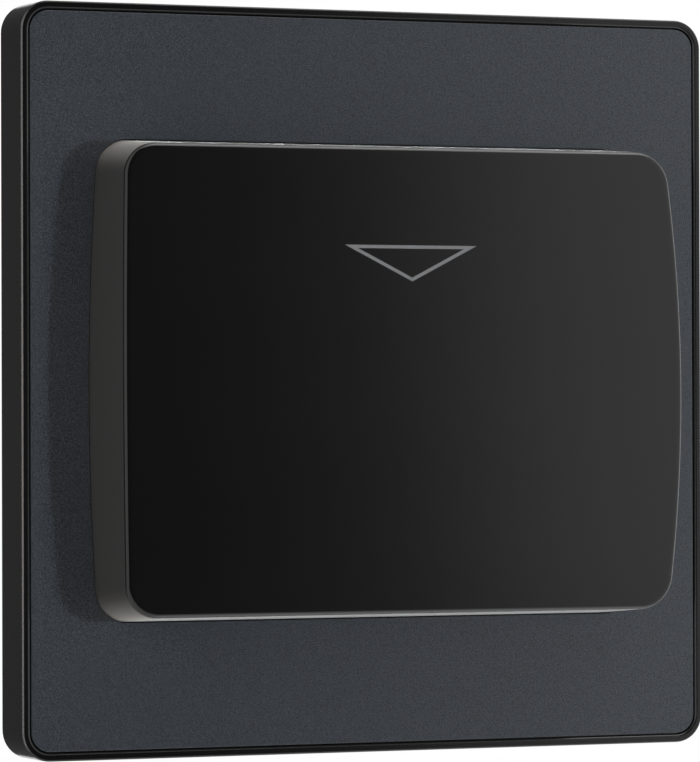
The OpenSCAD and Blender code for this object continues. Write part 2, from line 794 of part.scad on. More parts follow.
// The spring's wire: rings of points along a helix around the pin, with a straight leg at each end
spring_sides = 6;
spring_steps = 8;
spring_start = -90;
spring_lean = 4;
spring_end = 360 * spring_turns - spring_lean;
spring_rings = spring_steps * spring_turns + 2;
spring_back_leg = (deck_y0 - spring_wire - lever_y - spring_mean_r * cos(spring_lean)) / sin(spring_lean);
spring_width = (spring_end - spring_start) / 360 * spring_pitch;
function spring_angle(i) = spring_start + (spring_end - spring_start) * i / (spring_rings - 1);
function spring_x(i) = spring_width * (i / (spring_rings - 1) - 0.5);
function spring_ring(i, leg) =
    let (a = spring_angle(i))
    [for (k = [0:spring_sides - 1])
        let (t = 360 * k / spring_sides)
        let (r = spring_mean_r + spring_wire / 2 * cos(t))
        [
            spring_x(i) + spring_wire / 2 * sin(t),
            lever_y + r * cos(a) - leg * sin(a),
            lever_z + r * sin(a) + leg * cos(a)
        ]];
echo(spring_least_gap = spring_pitch - spring_wire);

module return_spring() color("silver") {
    n = spring_sides;
    rings = concat(
        [spring_ring(0, -spring_front_leg)],
        [for (i = [0:spring_rings - 1]) spring_ring(i, 0)],
        [spring_ring(spring_rings - 1, spring_back_leg)]
    );
    last = (len(rings) - 1) * n;
    sides = [for (k = [0:len(rings) - 2], i = [0:n - 1])
        let (j = (i + 1) % n)
        each [[k * n + i, k * n + j, (k + 1) * n + i], [k * n + j, (k + 1) * n + j, (k + 1) * n + i]]];
    ends = [for (i = [1:n - 2]) each [[0, i + 1, i], [last, last + i, last + i + 1]]];
    polyhedron([for (ring = rings) each ring], concat(sides, ends));
}

// The solder pins pass between the terminals behind the board
lead_places = [-terminal_pitch / 2, terminal_pitch / 2];
switch_l = terminal_pitch + 2 * switch_end;

module switch_case() color("#1b1c1f") {
    well_x = button_l / 2 + slip_gap;
    well_z = button_w / 2 + slip_gap;
    well_y = button_y0 + button_proud + button_stem + slip_gap;
    z0 = crossbar_z - switch_w / 2;
    difference() {
        translate([0, (switch_y0 + board_y0) / 2, z0]) linear_extrude(switch_w) {
            rounded_rect(switch_l, switch_h, switch_corner_r);
            translate([-switch_l / 2, 0]) square([switch_l, switch_h / 2]);
        }
        block(-well_x, well_x, switch_y0 - past, well_y, crossbar_z - well_z, crossbar_z + well_z);
        for (x = lead_places) {
            rod_y(x, crossbar_z, lead_r, board_y0 - lead_r, board_y0 + past);
        }
        for (s = [-1, 1]) {
            rod_z(s * switch_hole_pitch / 2, board_y0 - switch_hole_up, switch_hole_r,
                z0 - past, z0 + switch_w + past);
        }
    }
}

// The plunger's front edges are round, so the crossbar slides over them
module switch_button() color("#c43c2e") {
    tip_y = button_y0 + button_tip_r;
    half_w = button_w / 2;
    profile_x(-button_l / 2, button_l / 2) {
        translate([tip_y, crossbar_z - half_w]) square([switch_y0 + stem_depth() - tip_y, button_w]);
        translate([button_y0, crossbar_z - half_w + button_tip_r])
            square([2 * button_tip_r, button_w - 2 * button_tip_r]);
        for (s = [-1, 1]) {
            translate([tip_y, crossbar_z + s * (half_w - button_tip_r)]) circle(button_tip_r);
        }
    }
}

// The stem leaves room behind it for the button's whole travel
button_travel = crossbar_drop * lever_travel * PI / 180;
function stem_depth() = button_stem - button_travel;

module switch_leads() color("silver") {
    for (x = lead_places) {
        rod_y(x, crossbar_z, lead_r, board_y0 - lead_r, board_y1 + lead_tail);
    }
}

module circuit_board() color("#2f6b3c") {
    notch = case_boss_in - case_wall + case_boss_r + slip_gap;
    difference() {
        block(-board_w / 2, board_w / 2, board_y0, board_y1, -board_h / 2, board_h / 2);
        for (x = [-1, 1], z = [-1, 1]) {
            translate([x * case_in_w / 2, (board_y0 + board_y1) / 2, z * case_in_h / 2])
                cube([2 * notch, board_t + 2 * past, 2 * notch], center = true);
        }
        for (x = lead_places) {
            rod_y(x, crossbar_z, lead_r + screw_gap, board_y0 - past, board_y1 + past);
        }
        for (s = [-1, 1]) {
            rod_y(s * board_screw_x, board_screw_z, board_screw_r + screw_gap,
                board_y0 - past, board_y1 + past);
        }
    }
}

module board_screws() color("silver") {
    for (s = [-1, 1]) {
        pan_screw(s * board_screw_x, board_screw_z, board_y0, 1,
            board_screw_r, board_screw_l, board_head_r, board_head_h);
    }
}

// The parts behind the board stand in two columns between the screw bosses, from the top down
column_x = case_boss_x - case_boss_r - slip_gap;
column_top = case_in_h / 2 - parts_gap;
relay_x = relay_w / 2 - column_x;
relay_z = column_top - relay_h / 2;
film_x = film_w / 2 - column_x;
film_z = column_top - relay_h - parts_gap - film_h / 2;
resistor_x = resistor_l / 2 - column_x;
resistor_z = film_z - film_h / 2 - parts_gap - resistor_r;
smooth_x = column_x - smooth_r;
smooth_z = column_top - smooth_r;
varistor_x = column_x - varistor_t;
varistor_z = smooth_z - smooth_r - parts_gap - varistor_r;
chip_x = column_x - chip_l / 2;
chip_z = varistor_z - varistor_r - parts_gap - chip_w / 2;

module relay() color("#2a4f86") {
    cover_w = relay_w - 2 * relay_step;
    cover_h = relay_h - 2 * relay_step;
    translate([relay_x, 0, relay_z]) {
        slab(board_y1, board_y1 + relay_base_t) square([relay_w, relay_h], center = true);
        slab(board_y1 + relay_base_t / 2, board_y1 + relay_d) rounded_rect(cover_w, cover_h, relay_corner_r);
    }
}

module film_capacitor() color("#c9a227") {
    foot_x = (film_w - film_foot_w) / 2 - film_corner_r;
    translate([film_x, 0, film_z]) {
        slab(board_y1 + film_foot_h, board_y1 + film_d) rounded_rect(film_w, film_h, film_corner_r);
        for (s = [-1, 1]) {
            slab(board_y1, board_y1 + 2 * film_foot_h) translate([s * foot_x, 0])
                square([film_foot_w, film_h - 2 * film_corner_r], center = true);
        }
    }
}

// A can in a sleeve: a rolled groove near the board and the sleeve's rim round the end
module smoothing_capacitor() color("#28313f") {
    groove_y0 = board_y1 + smooth_groove_at;
    groove_y1 = groove_y0 + smooth_groove_w;
    end_y = board_y1 + smooth_d;
    difference() {
        rod_y(smooth_x, smooth_z, smooth_r, board_y1, end_y);
        difference() {
            rod_y(smooth_x, smooth_z, smooth_r + past, groove_y0, groove_y1);
            rod_y(smooth_x, smooth_z, smooth_r - smooth_groove_d, groove_y0 - past, groove_y1 + past);
        }
        rod_y(smooth_x, smooth_z, smooth_r - smooth_rim_w, end_y - smooth_rim_d, end_y + past);
    }
}

// A disc with a rounded rim on two staggered legs
module varistor() color("#3f6fa8") {
    centre_y = board_y1 + leg_h + varistor_r;
    translate([varistor_x, centre_y, varistor_z]) rotate([0, 90, 0]) rotate_extrude() intersection() {
        rounded_rect(2 * varistor_r, varistor_t, varistor_edge_r);
        translate([0, -varistor_t]) square([varistor_r + past, 2 * varistor_t]);
    }
    for (s = [-1, 1]) {
        rod_y(varistor_x + s * varistor_t / 6, varistor_z + s * varistor_leg_pitch / 2, leg_r,
            board_y1, centre_y);
    }
}

module timer_chip() color("#18191b") {
    top_y = board_y1 + chip_h;
    difference() {
        block(chip_x - chip_l / 2, chip_x + chip_l / 2, board_y1 + chip_lift, top_y,
            chip_z - chip_body_w / 2, chip_z + chip_body_w / 2);
        rod_y(chip_x - chip_l / 2, chip_z, chip_notch_r, top_y - chip_notch_r, top_y + past);
    }
    for (i = [0:chip_legs - 1], s = [-1, 1]) {
        chip_leg(chip_x + (i - (chip_legs - 1) / 2) * chip_leg_pitch, s);
    }
}

// A flat leg that leaves the chip's side, turns down and ends in a foot on the board
module chip_leg(x, s) {
    t = chip_leg_t;
    root = chip_body_w / 2 - t;
    knee = (chip_body_w + chip_w) / 4 - t / 2;
    out_y = board_y1 + (chip_lift + chip_h) / 2;
    profile_x(x - chip_leg_w / 2, x + chip_leg_w / 2) polygon([
        [out_y + t, chip_z + s * root],
        [out_y + t, chip_z + s * (knee + t)],
        [board_y1 + t, chip_z + s * (knee + t)],
        [board_y1 + t, chip_z + s * chip_w / 2],
        [board_y1, chip_z + s * chip_w / 2],
        [board_y1, chip_z + s * knee],
        [out_y, chip_z + s * knee],
        [out_y, chip_z + s * root]
    ]);
}

// A body with two caps and a waist, on legs that turn down to the board
module power_resistor() color("#8fa7b8") {
    axis_y = board_y1 + leg_h + resistor_r;
    half_l = resistor_l / 2 - resistor_leg_l;
    rod_x(axis_y, resistor_z, resistor_r - resistor_waist, resistor_x - half_l, resistor_x + half_l);
    for (s = [-1, 1]) {
        cap = [resistor_x + s * half_l, resistor_x + s * (half_l - resistor_cap_l)];
        bend_x = resistor_x + s * (resistor_l / 2 - leg_r);
        rod_x(axis_y, resistor_z, resistor_r, min(cap), max(cap));
        rod_x(axis_y, resistor_z, leg_r, min(bend_x, resistor_x), max(bend_x, resistor_x));
        translate([bend_x, axis_y, resistor_z]) sphere(leg_r);
        rod_y(bend_x, resistor_z, leg_r, board_y1, axis_y);
    }
}

terminal_places = [for (i = [0:terminal_count - 1]) (i - (terminal_count - 1) / 2) * terminal_pitch];

module rear_case() color("#1f2022") {
    case_y2 = case_y1 + case_wall;
    rail_y1 = board_y1 + board_rail_d;
    difference() {
        union() {
            difference() {
                slab(deck_y1, case_y2) rounded_rect(case_w, case_h, case_corner_r);
                slab(deck_y1 - past, case_y1)
                    rounded_rect(case_in_w, case_in_h, case_corner_r - case_wall / 2);
            }
            for (s = [-1, 1]) {
                x0 = case_in_w / 2 - board_rail_w;
                x1 = case_in_w / 2 + case_wall / 2;
                block(min(s * x0, s * x1), max(s * x0, s * x1), board_y1, rail_y1,
                    board_screw_z - board_rail_l / 2, board_screw_z + board_rail_l / 2);
                for (z = [-1, 1]) {
                    rod_y(s * case_boss_x, z * case_boss_z, case_boss_r, deck_y1, deck_y1 + case_boss_l);
                }
            }
        }
        for (s = [-1, 1]) {
            rod_y(s * board_screw_x, board_screw_z, board_screw_r + screw_gap, board_y1 - past,
                board_y0 + board_screw_l + slip_gap);
            for (z = [-1, 1]) {
                rod_y(s * case_boss_x, z * case_boss_z, case_screw_r + screw_gap, deck_y1 - past,
                    deck_y0 + case_screw_l + slip_gap);
            }
        }
        for (x = terminal_places) {
            rod_z(x, terminal_y, wire_r + slip_gap, -case_h / 2 - past, terminal_z0);
            rod_y(x, terminal_z, terminal_head_r + slip_gap, case_y1 - past, case_y2 + past);
        }
    }
}

module case_screws() color("silver") {
    for (x = [-1, 1], z = [-1, 1]) {
        rod_y(x * case_boss_x, z * case_boss_z, case_screw_r, deck_y0, deck_y0 + case_screw_l);
        translate([x * case_boss_x, deck_y0 + case_head_h, z * case_boss_z]) rotate([90, 0, 0])
            cylinder(r1 = case_screw_r, r2 = case_head_r, h = case_head_h);
    }
}

// Each terminal is a brass block with a wire bore and a screw hole that meets it
module terminal_cages() color("goldenrod") {
    for (x = terminal_places) {
        difference() {
            block(x - terminal_w / 2, x + terminal_w / 2, board_y1, board_y1 + terminal_d,
                terminal_z0, terminal_z0 + terminal_l);
            rod_z(x, terminal_y, wire_r, terminal_z0 - past, terminal_z0 + terminal_l + past);
            rod_y(x, terminal_z, terminal_screw_r + screw_gap, terminal_y, board_y1 + terminal_d + past);
        }
    }
}

module terminal_screws() color("silver") {
    seat_y = board_y1 + terminal_d + screw_gap;
    tip_y = terminal_y + wire_r + slip_gap;
    for (x = terminal_places) {
        pan_screw(x, terminal_z, seat_y, -1,
            terminal_screw_r, seat_y - tip_y, terminal_head_r, terminal_head_h);
    }
}

wall_frame();
front_plate();
card_housing();
card_guide();
guide_screws();
card_lever();
lever_pin();
return_spring();
switch_case();
switch_button();
switch_leads();
circuit_board();
relay();
film_capacitor();
smoothing_capacitor();
varistor();
timer_chip();
power_resistor();
board_screws();
rear_case();
case_screws();
terminal_cages();
terminal_screws();
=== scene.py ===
# Looks of a hotel key card switch: rounded edges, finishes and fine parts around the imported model.
# Metres. The wall is the plane Y = 0, the front faces -Y, +Z is up.
import json
import math

import bmesh
import bpy
from mathutils import Matrix, Vector

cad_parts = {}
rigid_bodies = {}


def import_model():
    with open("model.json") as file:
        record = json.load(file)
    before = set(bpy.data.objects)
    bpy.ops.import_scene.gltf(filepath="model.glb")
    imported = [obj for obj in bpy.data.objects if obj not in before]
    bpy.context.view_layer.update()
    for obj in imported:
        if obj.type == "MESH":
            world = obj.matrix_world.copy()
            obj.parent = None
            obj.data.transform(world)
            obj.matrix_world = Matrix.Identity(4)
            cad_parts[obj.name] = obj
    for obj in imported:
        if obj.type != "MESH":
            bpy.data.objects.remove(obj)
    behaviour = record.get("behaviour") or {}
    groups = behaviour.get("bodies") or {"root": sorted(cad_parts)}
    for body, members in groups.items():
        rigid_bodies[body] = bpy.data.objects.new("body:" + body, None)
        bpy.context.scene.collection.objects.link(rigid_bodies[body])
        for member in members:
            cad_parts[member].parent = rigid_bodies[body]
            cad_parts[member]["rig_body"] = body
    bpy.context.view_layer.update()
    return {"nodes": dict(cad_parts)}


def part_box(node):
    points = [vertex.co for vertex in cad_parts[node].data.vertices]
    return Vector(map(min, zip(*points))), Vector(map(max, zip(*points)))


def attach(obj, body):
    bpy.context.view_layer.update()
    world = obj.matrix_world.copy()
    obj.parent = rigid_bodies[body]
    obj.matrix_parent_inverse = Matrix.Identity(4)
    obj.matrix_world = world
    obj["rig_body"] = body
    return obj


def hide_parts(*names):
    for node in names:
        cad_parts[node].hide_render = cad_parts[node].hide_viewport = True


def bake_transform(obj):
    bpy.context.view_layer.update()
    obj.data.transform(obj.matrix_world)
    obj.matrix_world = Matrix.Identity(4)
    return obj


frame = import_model()
scene = bpy.context.scene
scene.view_settings.view_transform = "Standard"

MM = 0.001
NODES = frame["nodes"]

# Camera, from the edges of the square plate in the photograph
IMAGE_H = 762
FOCAL_PX = 5021.4
SENSOR_MM = 36.0
CAMERA_AT = Vector((-259.2, -596.72, -4.9)) * MM
CAMERA_YAW = math.radians(23.507)
CAMERA_PITCH = math.radians(0.437)
CAMERA_ROLL = math.radians(-0.164)

# Wall frame
FRAME_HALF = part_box("wall_frame")[1].x
FRAME_CORNER_R = 3.7 * MM
RIM_Y = -7.7 * MM
RIM_W = 1.05 * MM
FRONT_ROUND = 0.28 * MM
RIM_ROUND = 0.36 * MM
BACK_ROUND = 0.15 * MM
# The frame's rounded front edge, where a paler tone is painted as a highlight, full from this X outwards.
HIGHLIGHT_BAND_Y0 = RIM_Y + 0.02 * MM
HIGHLIGHT_BAND_Y1 = RIM_Y + 0.24 * MM
HIGHLIGHT_FULL_X = FRAME_HALF - 0.4 * MM
PLATE_ROUND = 0.06 * MM
NEAR = 0.01 * MM

# Card housing, the same forms as the solid's
PLATE_LO, PLATE_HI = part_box("front_plate")
HOUSING_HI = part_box("card_housing")[1]
PLATE_Y1 = PLATE_LO.y + 1.6 * MM
FLANGE_W = 4.0 * MM
FLANGE_Y1 = PLATE_HI.y
FLANGE_ROUND = 0.2 * MM
HOUSING_HALF_W = HOUSING_HI.x - FLANGE_W
HOUSING_HALF_H = HOUSING_HI.z - FLANGE_W
FRONT_HALF_H = HOUSING_HALF_H - 0.8 * MM
HOUSING_RISE = 12.15 * MM
HOUSING_WALL = 1.8 * MM
BOW_R = 400 * MM
BOW_Z = -1.1 * MM
ARCH_R = 202 * MM
ARCH_Z = -2.3 * MM
CORNER_R = 4.4 * MM
EDGE_R = 0.55 * MM
CORNER_STEPS = 14
BOW_STEPS = 36
EDGE_STEPS = 8
FRONT_MARGIN = 0.35 * MM

# Card slot, and what stands inside the housing and behind it
POCKET_HALF_W = 27.9 * MM
PANEL_Y0 = -11.0 * MM
PANEL_Y1 = -9.5 * MM
PANEL_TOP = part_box("card_guide")[1].z
SLOT_BEVEL = 0.2 * MM
RIB_X = 15 * MM
RIB_T = 1.2 * MM
BOSS_R = 2.2 * MM
BOSS_HOLE_R = 1.05 * MM
BOSS_HOLE_Y0 = -14.7 * MM
HOOK_X = 20 * MM
HOOK_W = 6 * MM
HOOK_Y0 = PANEL_Y1 + 0.2 * MM
HOOK_T = 1.4 * MM
HOOK_LAP = 1.8 * MM
PRONG_X = 30 * MM
PRONG_W = 8 * MM
PRONG_T = 1.6 * MM
PEG_X = 40.215 * MM
PEG_Z = 14 * MM

# Printed arrow on the housing's front
ARROW_X = 0.57 * MM
ARROW_HALF_W = 9.1 * MM
ARROW_TOP = 17.03 * MM
ARROW_TIP = 12.47 * MM
ARROW_STROKE = 0.42 * MM
INK_T = 0.015 * MM

# Lever and its spring
LEVER_Y = -6.8 * MM
LEVER_Z = -18 * MM
SPRING_R = 1.5 * MM
SPRING_WIRE_R = 0.25 * MM
SPRING_START = -90
SPRING_END = 1076
SPRING_PITCH = 1.0 * MM
SPRING_FRONT_LEG = 5.0 * MM
SPRING_BACK_LEG = 5.79 * MM

# Circuit board and the parts behind it
BOARD_LO, BOARD_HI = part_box("circuit_board")
CHIP_LO, CHIP_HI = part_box("timer_chip")
CAN_LO, CAN_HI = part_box("smoothing_capacitor")
RESISTOR_LO, RESISTOR_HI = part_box("power_resistor")
LEG_H = 0.8 * MM
CHIP_BODY_HALF = 2.21 * MM
RESISTOR_BODY_HALF = 3.81 * MM
BAND_W = 0.6 * MM
CAN_RIM_W = 0.88 * MM
CAN_DISH = 0.35 * MM
CAN_END_Y = CAN_HI.y - CAN_DISH
CAN_CROSS_HALF = 2.2 * MM
CAN_CROSS_T = 0.28 * MM
TRACK_T = 0.06 * MM
TRACK_STEP = 0.001 * MM

# Profile of a solder cone and of the leg's end in it, as (radius, rise), in millimetres
SOLDER_CONE = ((1.15, 0.0), (1.1, 0.06), (0.85, 0.2), (0.65, 0.45), (0.52, 0.8), (0.46, 1.0))
LEG_TIP = ((0.36, 1.05), (0.3, 1.3), (0.0, 1.34))

# Copper tracks on the board's front, each a width and a path of (X, Z) points, in millimetres
TRACKS = (
    (2.4, ((-11, -24), (-11, -8.2), (-17.7, -8.2), (-17.7, 13), (-16.2, 13))),
    (1.4, ((-17.7, 4.9), (-16.8, 4.9))),
    (2.4, ((0, -19.5), (0, 18), (-9, 18), (-9, 23))),
    (2.4, ((11, -24), (11, -4.4), (17.3, -4.4))),
    (1.0, ((16, -3.7), (18.2, -3.7), (18.2, 9.9), (14.2, 9.9))),
    (1.2, ((-3.8, 4.9), (-3.8, -2.5), (-8.3, -2.5))),
    (1.0, ((-5.5, -19.9), (-5.5, -6.5), (-2.2, -6.5), (-2.2, 11.4))),
    (1.0, ((0.6, 0.8), (9.19, 0.8))),
    (1.0, ((9.19, 6.6), (7.2, 6.6), (7.2, 21.9), (12.05, 21.9))),
    (1.0, ((15.55, 21.9), (20, 21.9), (20, 14.9), (14.2, 14.9))),
    (0.8, ((16.81, 0.8), (16.81, -1.8), (8, -1.8), (8, -14), (5.5, -16.5), (5.5, -19.9))),
    (0.8, ((11.73, 6.6), (11.73, 4.6), (14.27, 2.8), (14.27, 0.8))),
)

# Legs that are soldered on the board's front, as (X, Z) points, in millimetres
LEGS = (
    (-11, -22.5), (11, -22.5), (-16.2, 13), (-2.2, 11.4), (-9, 18), (-16.2, 23), (-9, 23), (-16.8, 4.9),
    (-3.8, 4.9), (-17.3, -2.5), (-8.3, -2.5), (14.2, 9.9), (14.2, 14.9), (12.05, 21.9), (15.55, 21.9),
)
CHIP_LEGS = tuple((9.19 + 2.54 * i, z) for i in range(4) for z in (0.8, 6.6))


def link(obj):
    scene.collection.objects.link(obj)
    return obj


def add_camera():
    data = bpy.data.cameras.new("camera")
    data.sensor_width = SENSOR_MM
    data.lens = FOCAL_PX * SENSOR_MM / IMAGE_H
    camera = link(bpy.data.objects.new("camera", data))
    turn = Matrix.Rotation(-CAMERA_YAW, 4, "Z") @ Matrix.Rotation(math.pi / 2 + CAMERA_PITCH, 4, "X")
    camera.matrix_world = Matrix.Translation(CAMERA_AT) @ turn @ Matrix.Rotation(CAMERA_ROLL, 4, "Z")
    scene.camera = camera


# Shader groups that the finishes share
def shader_group(name, inputs, outputs):
    tree = bpy.data.node_groups.new(name, "ShaderNodeTree")
    for label, kind, value in inputs:
        socket = tree.interface.new_socket(label, in_out="INPUT", socket_type="NodeSocket" + kind)
        socket.default_value = value
    for label, kind in outputs:
        tree.interface.new_socket(label, in_out="OUTPUT", socket_type="NodeSocket" + kind)
    start = tree.nodes.new("NodeGroupInput")
    end = tree.nodes.new("NodeGroupOutput")
    return tree, start, end


def feed(tree, socket, value):
    """Sets a socket to a plain value, or links another node's output to it."""
    if isinstance(value, bpy.types.NodeSocket):
        tree.links.new(value, socket)
    elif value is not None:
        socket.default_value = value


def add_node(tree, kind, settings=None, **values):
    node = tree.nodes.new("ShaderNode" + kind)
    for key, value in (settings or {}).items():
        setattr(node, key, value)
    for key, value in values.items():
        feed(tree, node.inputs[key.replace("_", " ")], value)
    return node


def math_node(tree, operation, a, b=None):
    node = add_node(tree, "Math", {"operation": operation})
    feed(tree, node.inputs[0], a)
    feed(tree, node.inputs[1], b)
    return node.outputs[0]


def scaled(tree, vector, factor):
    node = add_node(tree, "VectorMath", {"operation": "SCALE"}, Scale=factor)
    feed(tree, node.inputs[0], vector)
    return node.outputs["Vector"]


def mix_colour(tree, share, a, b):
    node = add_node(tree, "Mix", {"data_type": "RGBA"})
    feed(tree, node.inputs[0], share)
    feed(tree, node.inputs[6], a)
    feed(tree, node.inputs[7], b)
    return node.outputs[2]


def noise(tree, size, detail, roughness):
    """Noise in the object's own space, with grains of a size in metres."""
    place = add_node(tree, "TexCoord").outputs["Object"]
    scale = math_node(tree, "DIVIDE", 1.0, size)
    grains = add_node(tree, "TexNoise", Vector=place, Scale=scale, Detail=detail, Roughness=roughness)
    return grains.outputs["Fac"]


def swing(tree, value, amount):
    """Noise as a swing to both sides of zero."""
    return math_node(tree, "MULTIPLY", math_node(tree, "SUBTRACT", value, 0.5), amount)


def make_grain_group():
    """Fine relief of a moulded, painted or metal skin, and the gloss that drifts over it."""
    tree, start, end = shader_group(
        "skin_grain",
        [("Grain Size", "Float", 0.0004), ("Grain Depth", "Float", 0.000004), ("Gloss", "Float", 0.4),
         ("Gloss Drift", "Float", 0.06), ("Drift Size", "Float", 0.02)],
        [("Roughness", "Float"), ("Normal", "Vector"), ("Grain", "Float")])
    given = start.outputs
    fine = noise(tree, given["Grain Size"], 3.0, 0.6)
    bump = add_node(tree, "Bump", Height=fine, Strength=1.0, Distance=given["Grain Depth"])
    slow = noise(tree, given["Drift Size"], 4.0, 0.55)
    gloss = math_node(tree, "ADD", given["Gloss"], swing(tree, slow, given["Gloss Drift"]))
    feed(tree, end.inputs["Roughness"], gloss)
    feed(tree, end.inputs["Normal"], bump.outputs["Normal"])
    feed(tree, end.inputs["Grain"], fine)
    return tree


def make_tone_group():
    """A base colour that drifts a little over the surface and is rubbed to another tone along the edges."""
    tree, start, end = shader_group(
        "tone_and_rub",
        [("Tone", "Color", (0.1, 0.1, 0.1, 1)), ("Drift", "Float", 0.1), ("Drift Size", "Float", 0.01),
         ("Rub", "Float", 0.2), ("Rub Width", "Float", 0.0002), ("Rub Tone", "Color", (0.3, 0.3, 0.3, 1))],
        [("Color", "Color")])
    given = start.outputs
    slow = noise(tree, given["Drift Size"], 3.0, 0.5)
    tone = scaled(tree, given["Tone"], math_node(tree, "ADD", 1.0, swing(tree, slow, given["Drift"])))
    bevel = add_node(tree, "Bevel", {"samples": 4}, Radius=given["Rub Width"])
    facing = add_node(tree, "VectorMath", {"operation": "DOT_PRODUCT"})
    feed(tree, facing.inputs[0], bevel.outputs["Normal"])
    feed(tree, facing.inputs[1], add_node(tree, "NewGeometry").outputs["Normal"])
    turned = math_node(tree, "SUBTRACT", 1.0, facing.outputs["Value"])
    edge = add_node(tree, "MapRange", Value=turned, From_Min=0.01, From_Max=0.15).outputs["Result"]
    patches = noise(tree, 0.0015, 2.0, 0.6)
    patchy = add_node(tree, "MapRange", Value=patches, From_Min=0.3, From_Max=0.6, To_Min=0.6)
    worn = math_node(tree, "MULTIPLY", edge, patchy.outputs["Result"])
    share = math_node(tree, "MULTIPLY", worn, given["Rub"])
    feed(tree, end.inputs["Color"], mix_colour(tree, share, tone, given["Rub Tone"]))
    return tree


GRAIN = make_grain_group()
TONE = make_tone_group()


def place_group(tree, group, **values):
    node = tree.nodes.new("ShaderNodeGroup")
    node.node_tree = group
    for key, value in values.items():
        node.inputs[key.replace("_", " ")].default_value = value
    return node


class Finish:
    """A material made of the two shared groups. Grain is (size, depth), drift is (tone, gloss, size)."""

    def __init__(self, name, tone, gloss, grain, drift, rub=(0.0, (0.3, 0.3, 0.3)), metallic=0.0, ior=1.5):
        self.material = bpy.data.materials.new(name)
        self.material.use_nodes = True
        self.tree = self.material.node_tree
        self.shader = self.tree.nodes["Principled BSDF"]
        self.shader.inputs["Metallic"].default_value = metallic
        self.shader.inputs["IOR"].default_value = ior
        skin = place_group(self.tree, GRAIN, Grain_Size=grain[0], Grain_Depth=grain[1],
                           Gloss=gloss, Gloss_Drift=drift[1], Drift_Size=drift[2])
        colour = place_group(self.tree, TONE, Tone=(*tone, 1), Drift=drift[0], Drift_Size=drift[2],
                             Rub=rub[0], Rub_Tone=(*rub[1], 1))
        self.colour = colour.outputs["Color"]
        self.grain = skin.outputs["Grain"]
        self.feed("Base Color", self.colour)
        self.feed("Roughness", skin.outputs["Roughness"])
        self.feed("Normal", skin.outputs["Normal"])

    def feed(self, label, value):
        feed(self.tree, self.shader.inputs[label], value)

    def paint(self, colour):
        """Puts a new colour, worked out from the old one, on the shader."""
        self.colour = colour
        self.feed("Base Color", colour)

    def place(self):
        """The X, Y and Z of a point in the object's own space, which is the row frame at rest."""
        at = add_node(self.tree, "TexCoord").outputs["Object"]
        return add_node(self.tree, "SeparateXYZ", Vector=at).outputs

    def between(self, value, low, high):
        """One where the value lies between two limits, else zero."""
        above = math_node(self.tree, "GREATER_THAN", value, low)
        return math_node(self.tree, "MULTIPLY", above, math_node(self.tree, "LESS_THAN", value, high))

    def bare_metal(self, mask, tone):
        """Shows tinned or bare metal where the mask is one."""
        self.paint(mix_colour(self.tree, mask, self.colour, (*tone, 1)))
        self.feed("Metallic", mask)


# Finishes
PLASTIC_GRAIN = (0.0002, 0.000003)
BLACK_RUB = (0.08, 0.08, 0.085)
TINNED = (0.6, 0.59, 0.56)


def frame_plastic():
    """Satin black with paler edges, part wear and part painted highlight, and a stronger painted highlight on
    its rounded upright front edges.
    """
    # The edge rub's paler tone is part wear and part painted highlight on the rim's rounded edges.
    satin = Finish("frame_satin_black", (0.0038, 0.0038, 0.004), 0.16, PLASTIC_GRAIN, (0.15, 0.04, 0.012),
                   (0.4, (0.1, 0.1, 0.105)), ior=1.42)
    # Painted highlight: a paler tone on the rounded front edge, strongest on the upright sides.
    place = satin.place()
    highlight_band = satin.between(place[1], HIGHLIGHT_BAND_Y0, HIGHLIGHT_BAND_Y1)
    outer = add_node(satin.tree, "MapRange", Value=math_node(satin.tree, "ABSOLUTE", place[0]),
                     From_Min=FRAME_HALF - RIM_W, From_Max=HIGHLIGHT_FULL_X, To_Min=0.1, To_Max=1.0)
    rubbed = math_node(satin.tree, "MULTIPLY", highlight_band, outer.outputs["Result"])
    patchy = math_node(satin.tree, "MULTIPLY", rubbed, satin.grain)
    satin.paint(mix_colour(satin.tree, patchy, satin.colour, (0.16, 0.16, 0.165, 1)))
    return satin


def plate_slate():
    """Fine-textured slate grey: a speckle of lighter and darker grains over the base tone."""
    slate = Finish("plate_slate_texture", (0.025, 0.0305, 0.038), 0.3, (0.00016, 0.000004),
                   (0.1, 0.04, 0.02), ior=1.6)
    speck = add_node(slate.tree, "MapRange", Value=slate.grain, From_Min=0.33, From_Max=0.67,
                     To_Min=0.0, To_Max=2.0)
    slate.paint(scaled(slate.tree, slate.colour, speck.outputs["Result"]))
    return slate


def housing_gloss():
    """Smooth gloss black with the pale sheen that fine dust gives a black moulding at a grazing look."""
    gloss = Finish("housing_gloss_black", (0.002, 0.002, 0.0021), 0.17, (0.0015, 0.0000008),
                   (0.1, 0.02, 0.02))
    gloss.shader.inputs["Sheen Weight"].default_value = 0.75
    gloss.shader.inputs["Sheen Roughness"].default_value = 0.3
    return gloss


def arrow_ink():
    return Finish("arrow_grey_ink", (0.15, 0.153, 0.158), 0.5, (0.0002, 0.000004), (0.3, 0.1, 0.0004))


def guide_plastic():
    return Finish("guide_matt_black", (0.017, 0.017, 0.019), 0.5, (0.00012, 0.000005), (0.2, 0.08, 0.008),
                  (0.4, BLACK_RUB))


def lever_acetal():
    """Natural acetal, a little waxy, with grey rubbing where the card and the button touch it."""
    wax = Finish("lever_ivory_acetal", (0.68, 0.65, 0.58), 0.38, (0.0003, 0.000003), (0.08, 0.08, 0.004),
                 (0.35, (0.42, 0.4, 0.36)))
    wax.shader.inputs["Subsurface Weight"].default_value = 0.15
    wax.shader.inputs["Subsurface Radius"].default_value = (0.0012, 0.001, 0.0008)
    return wax


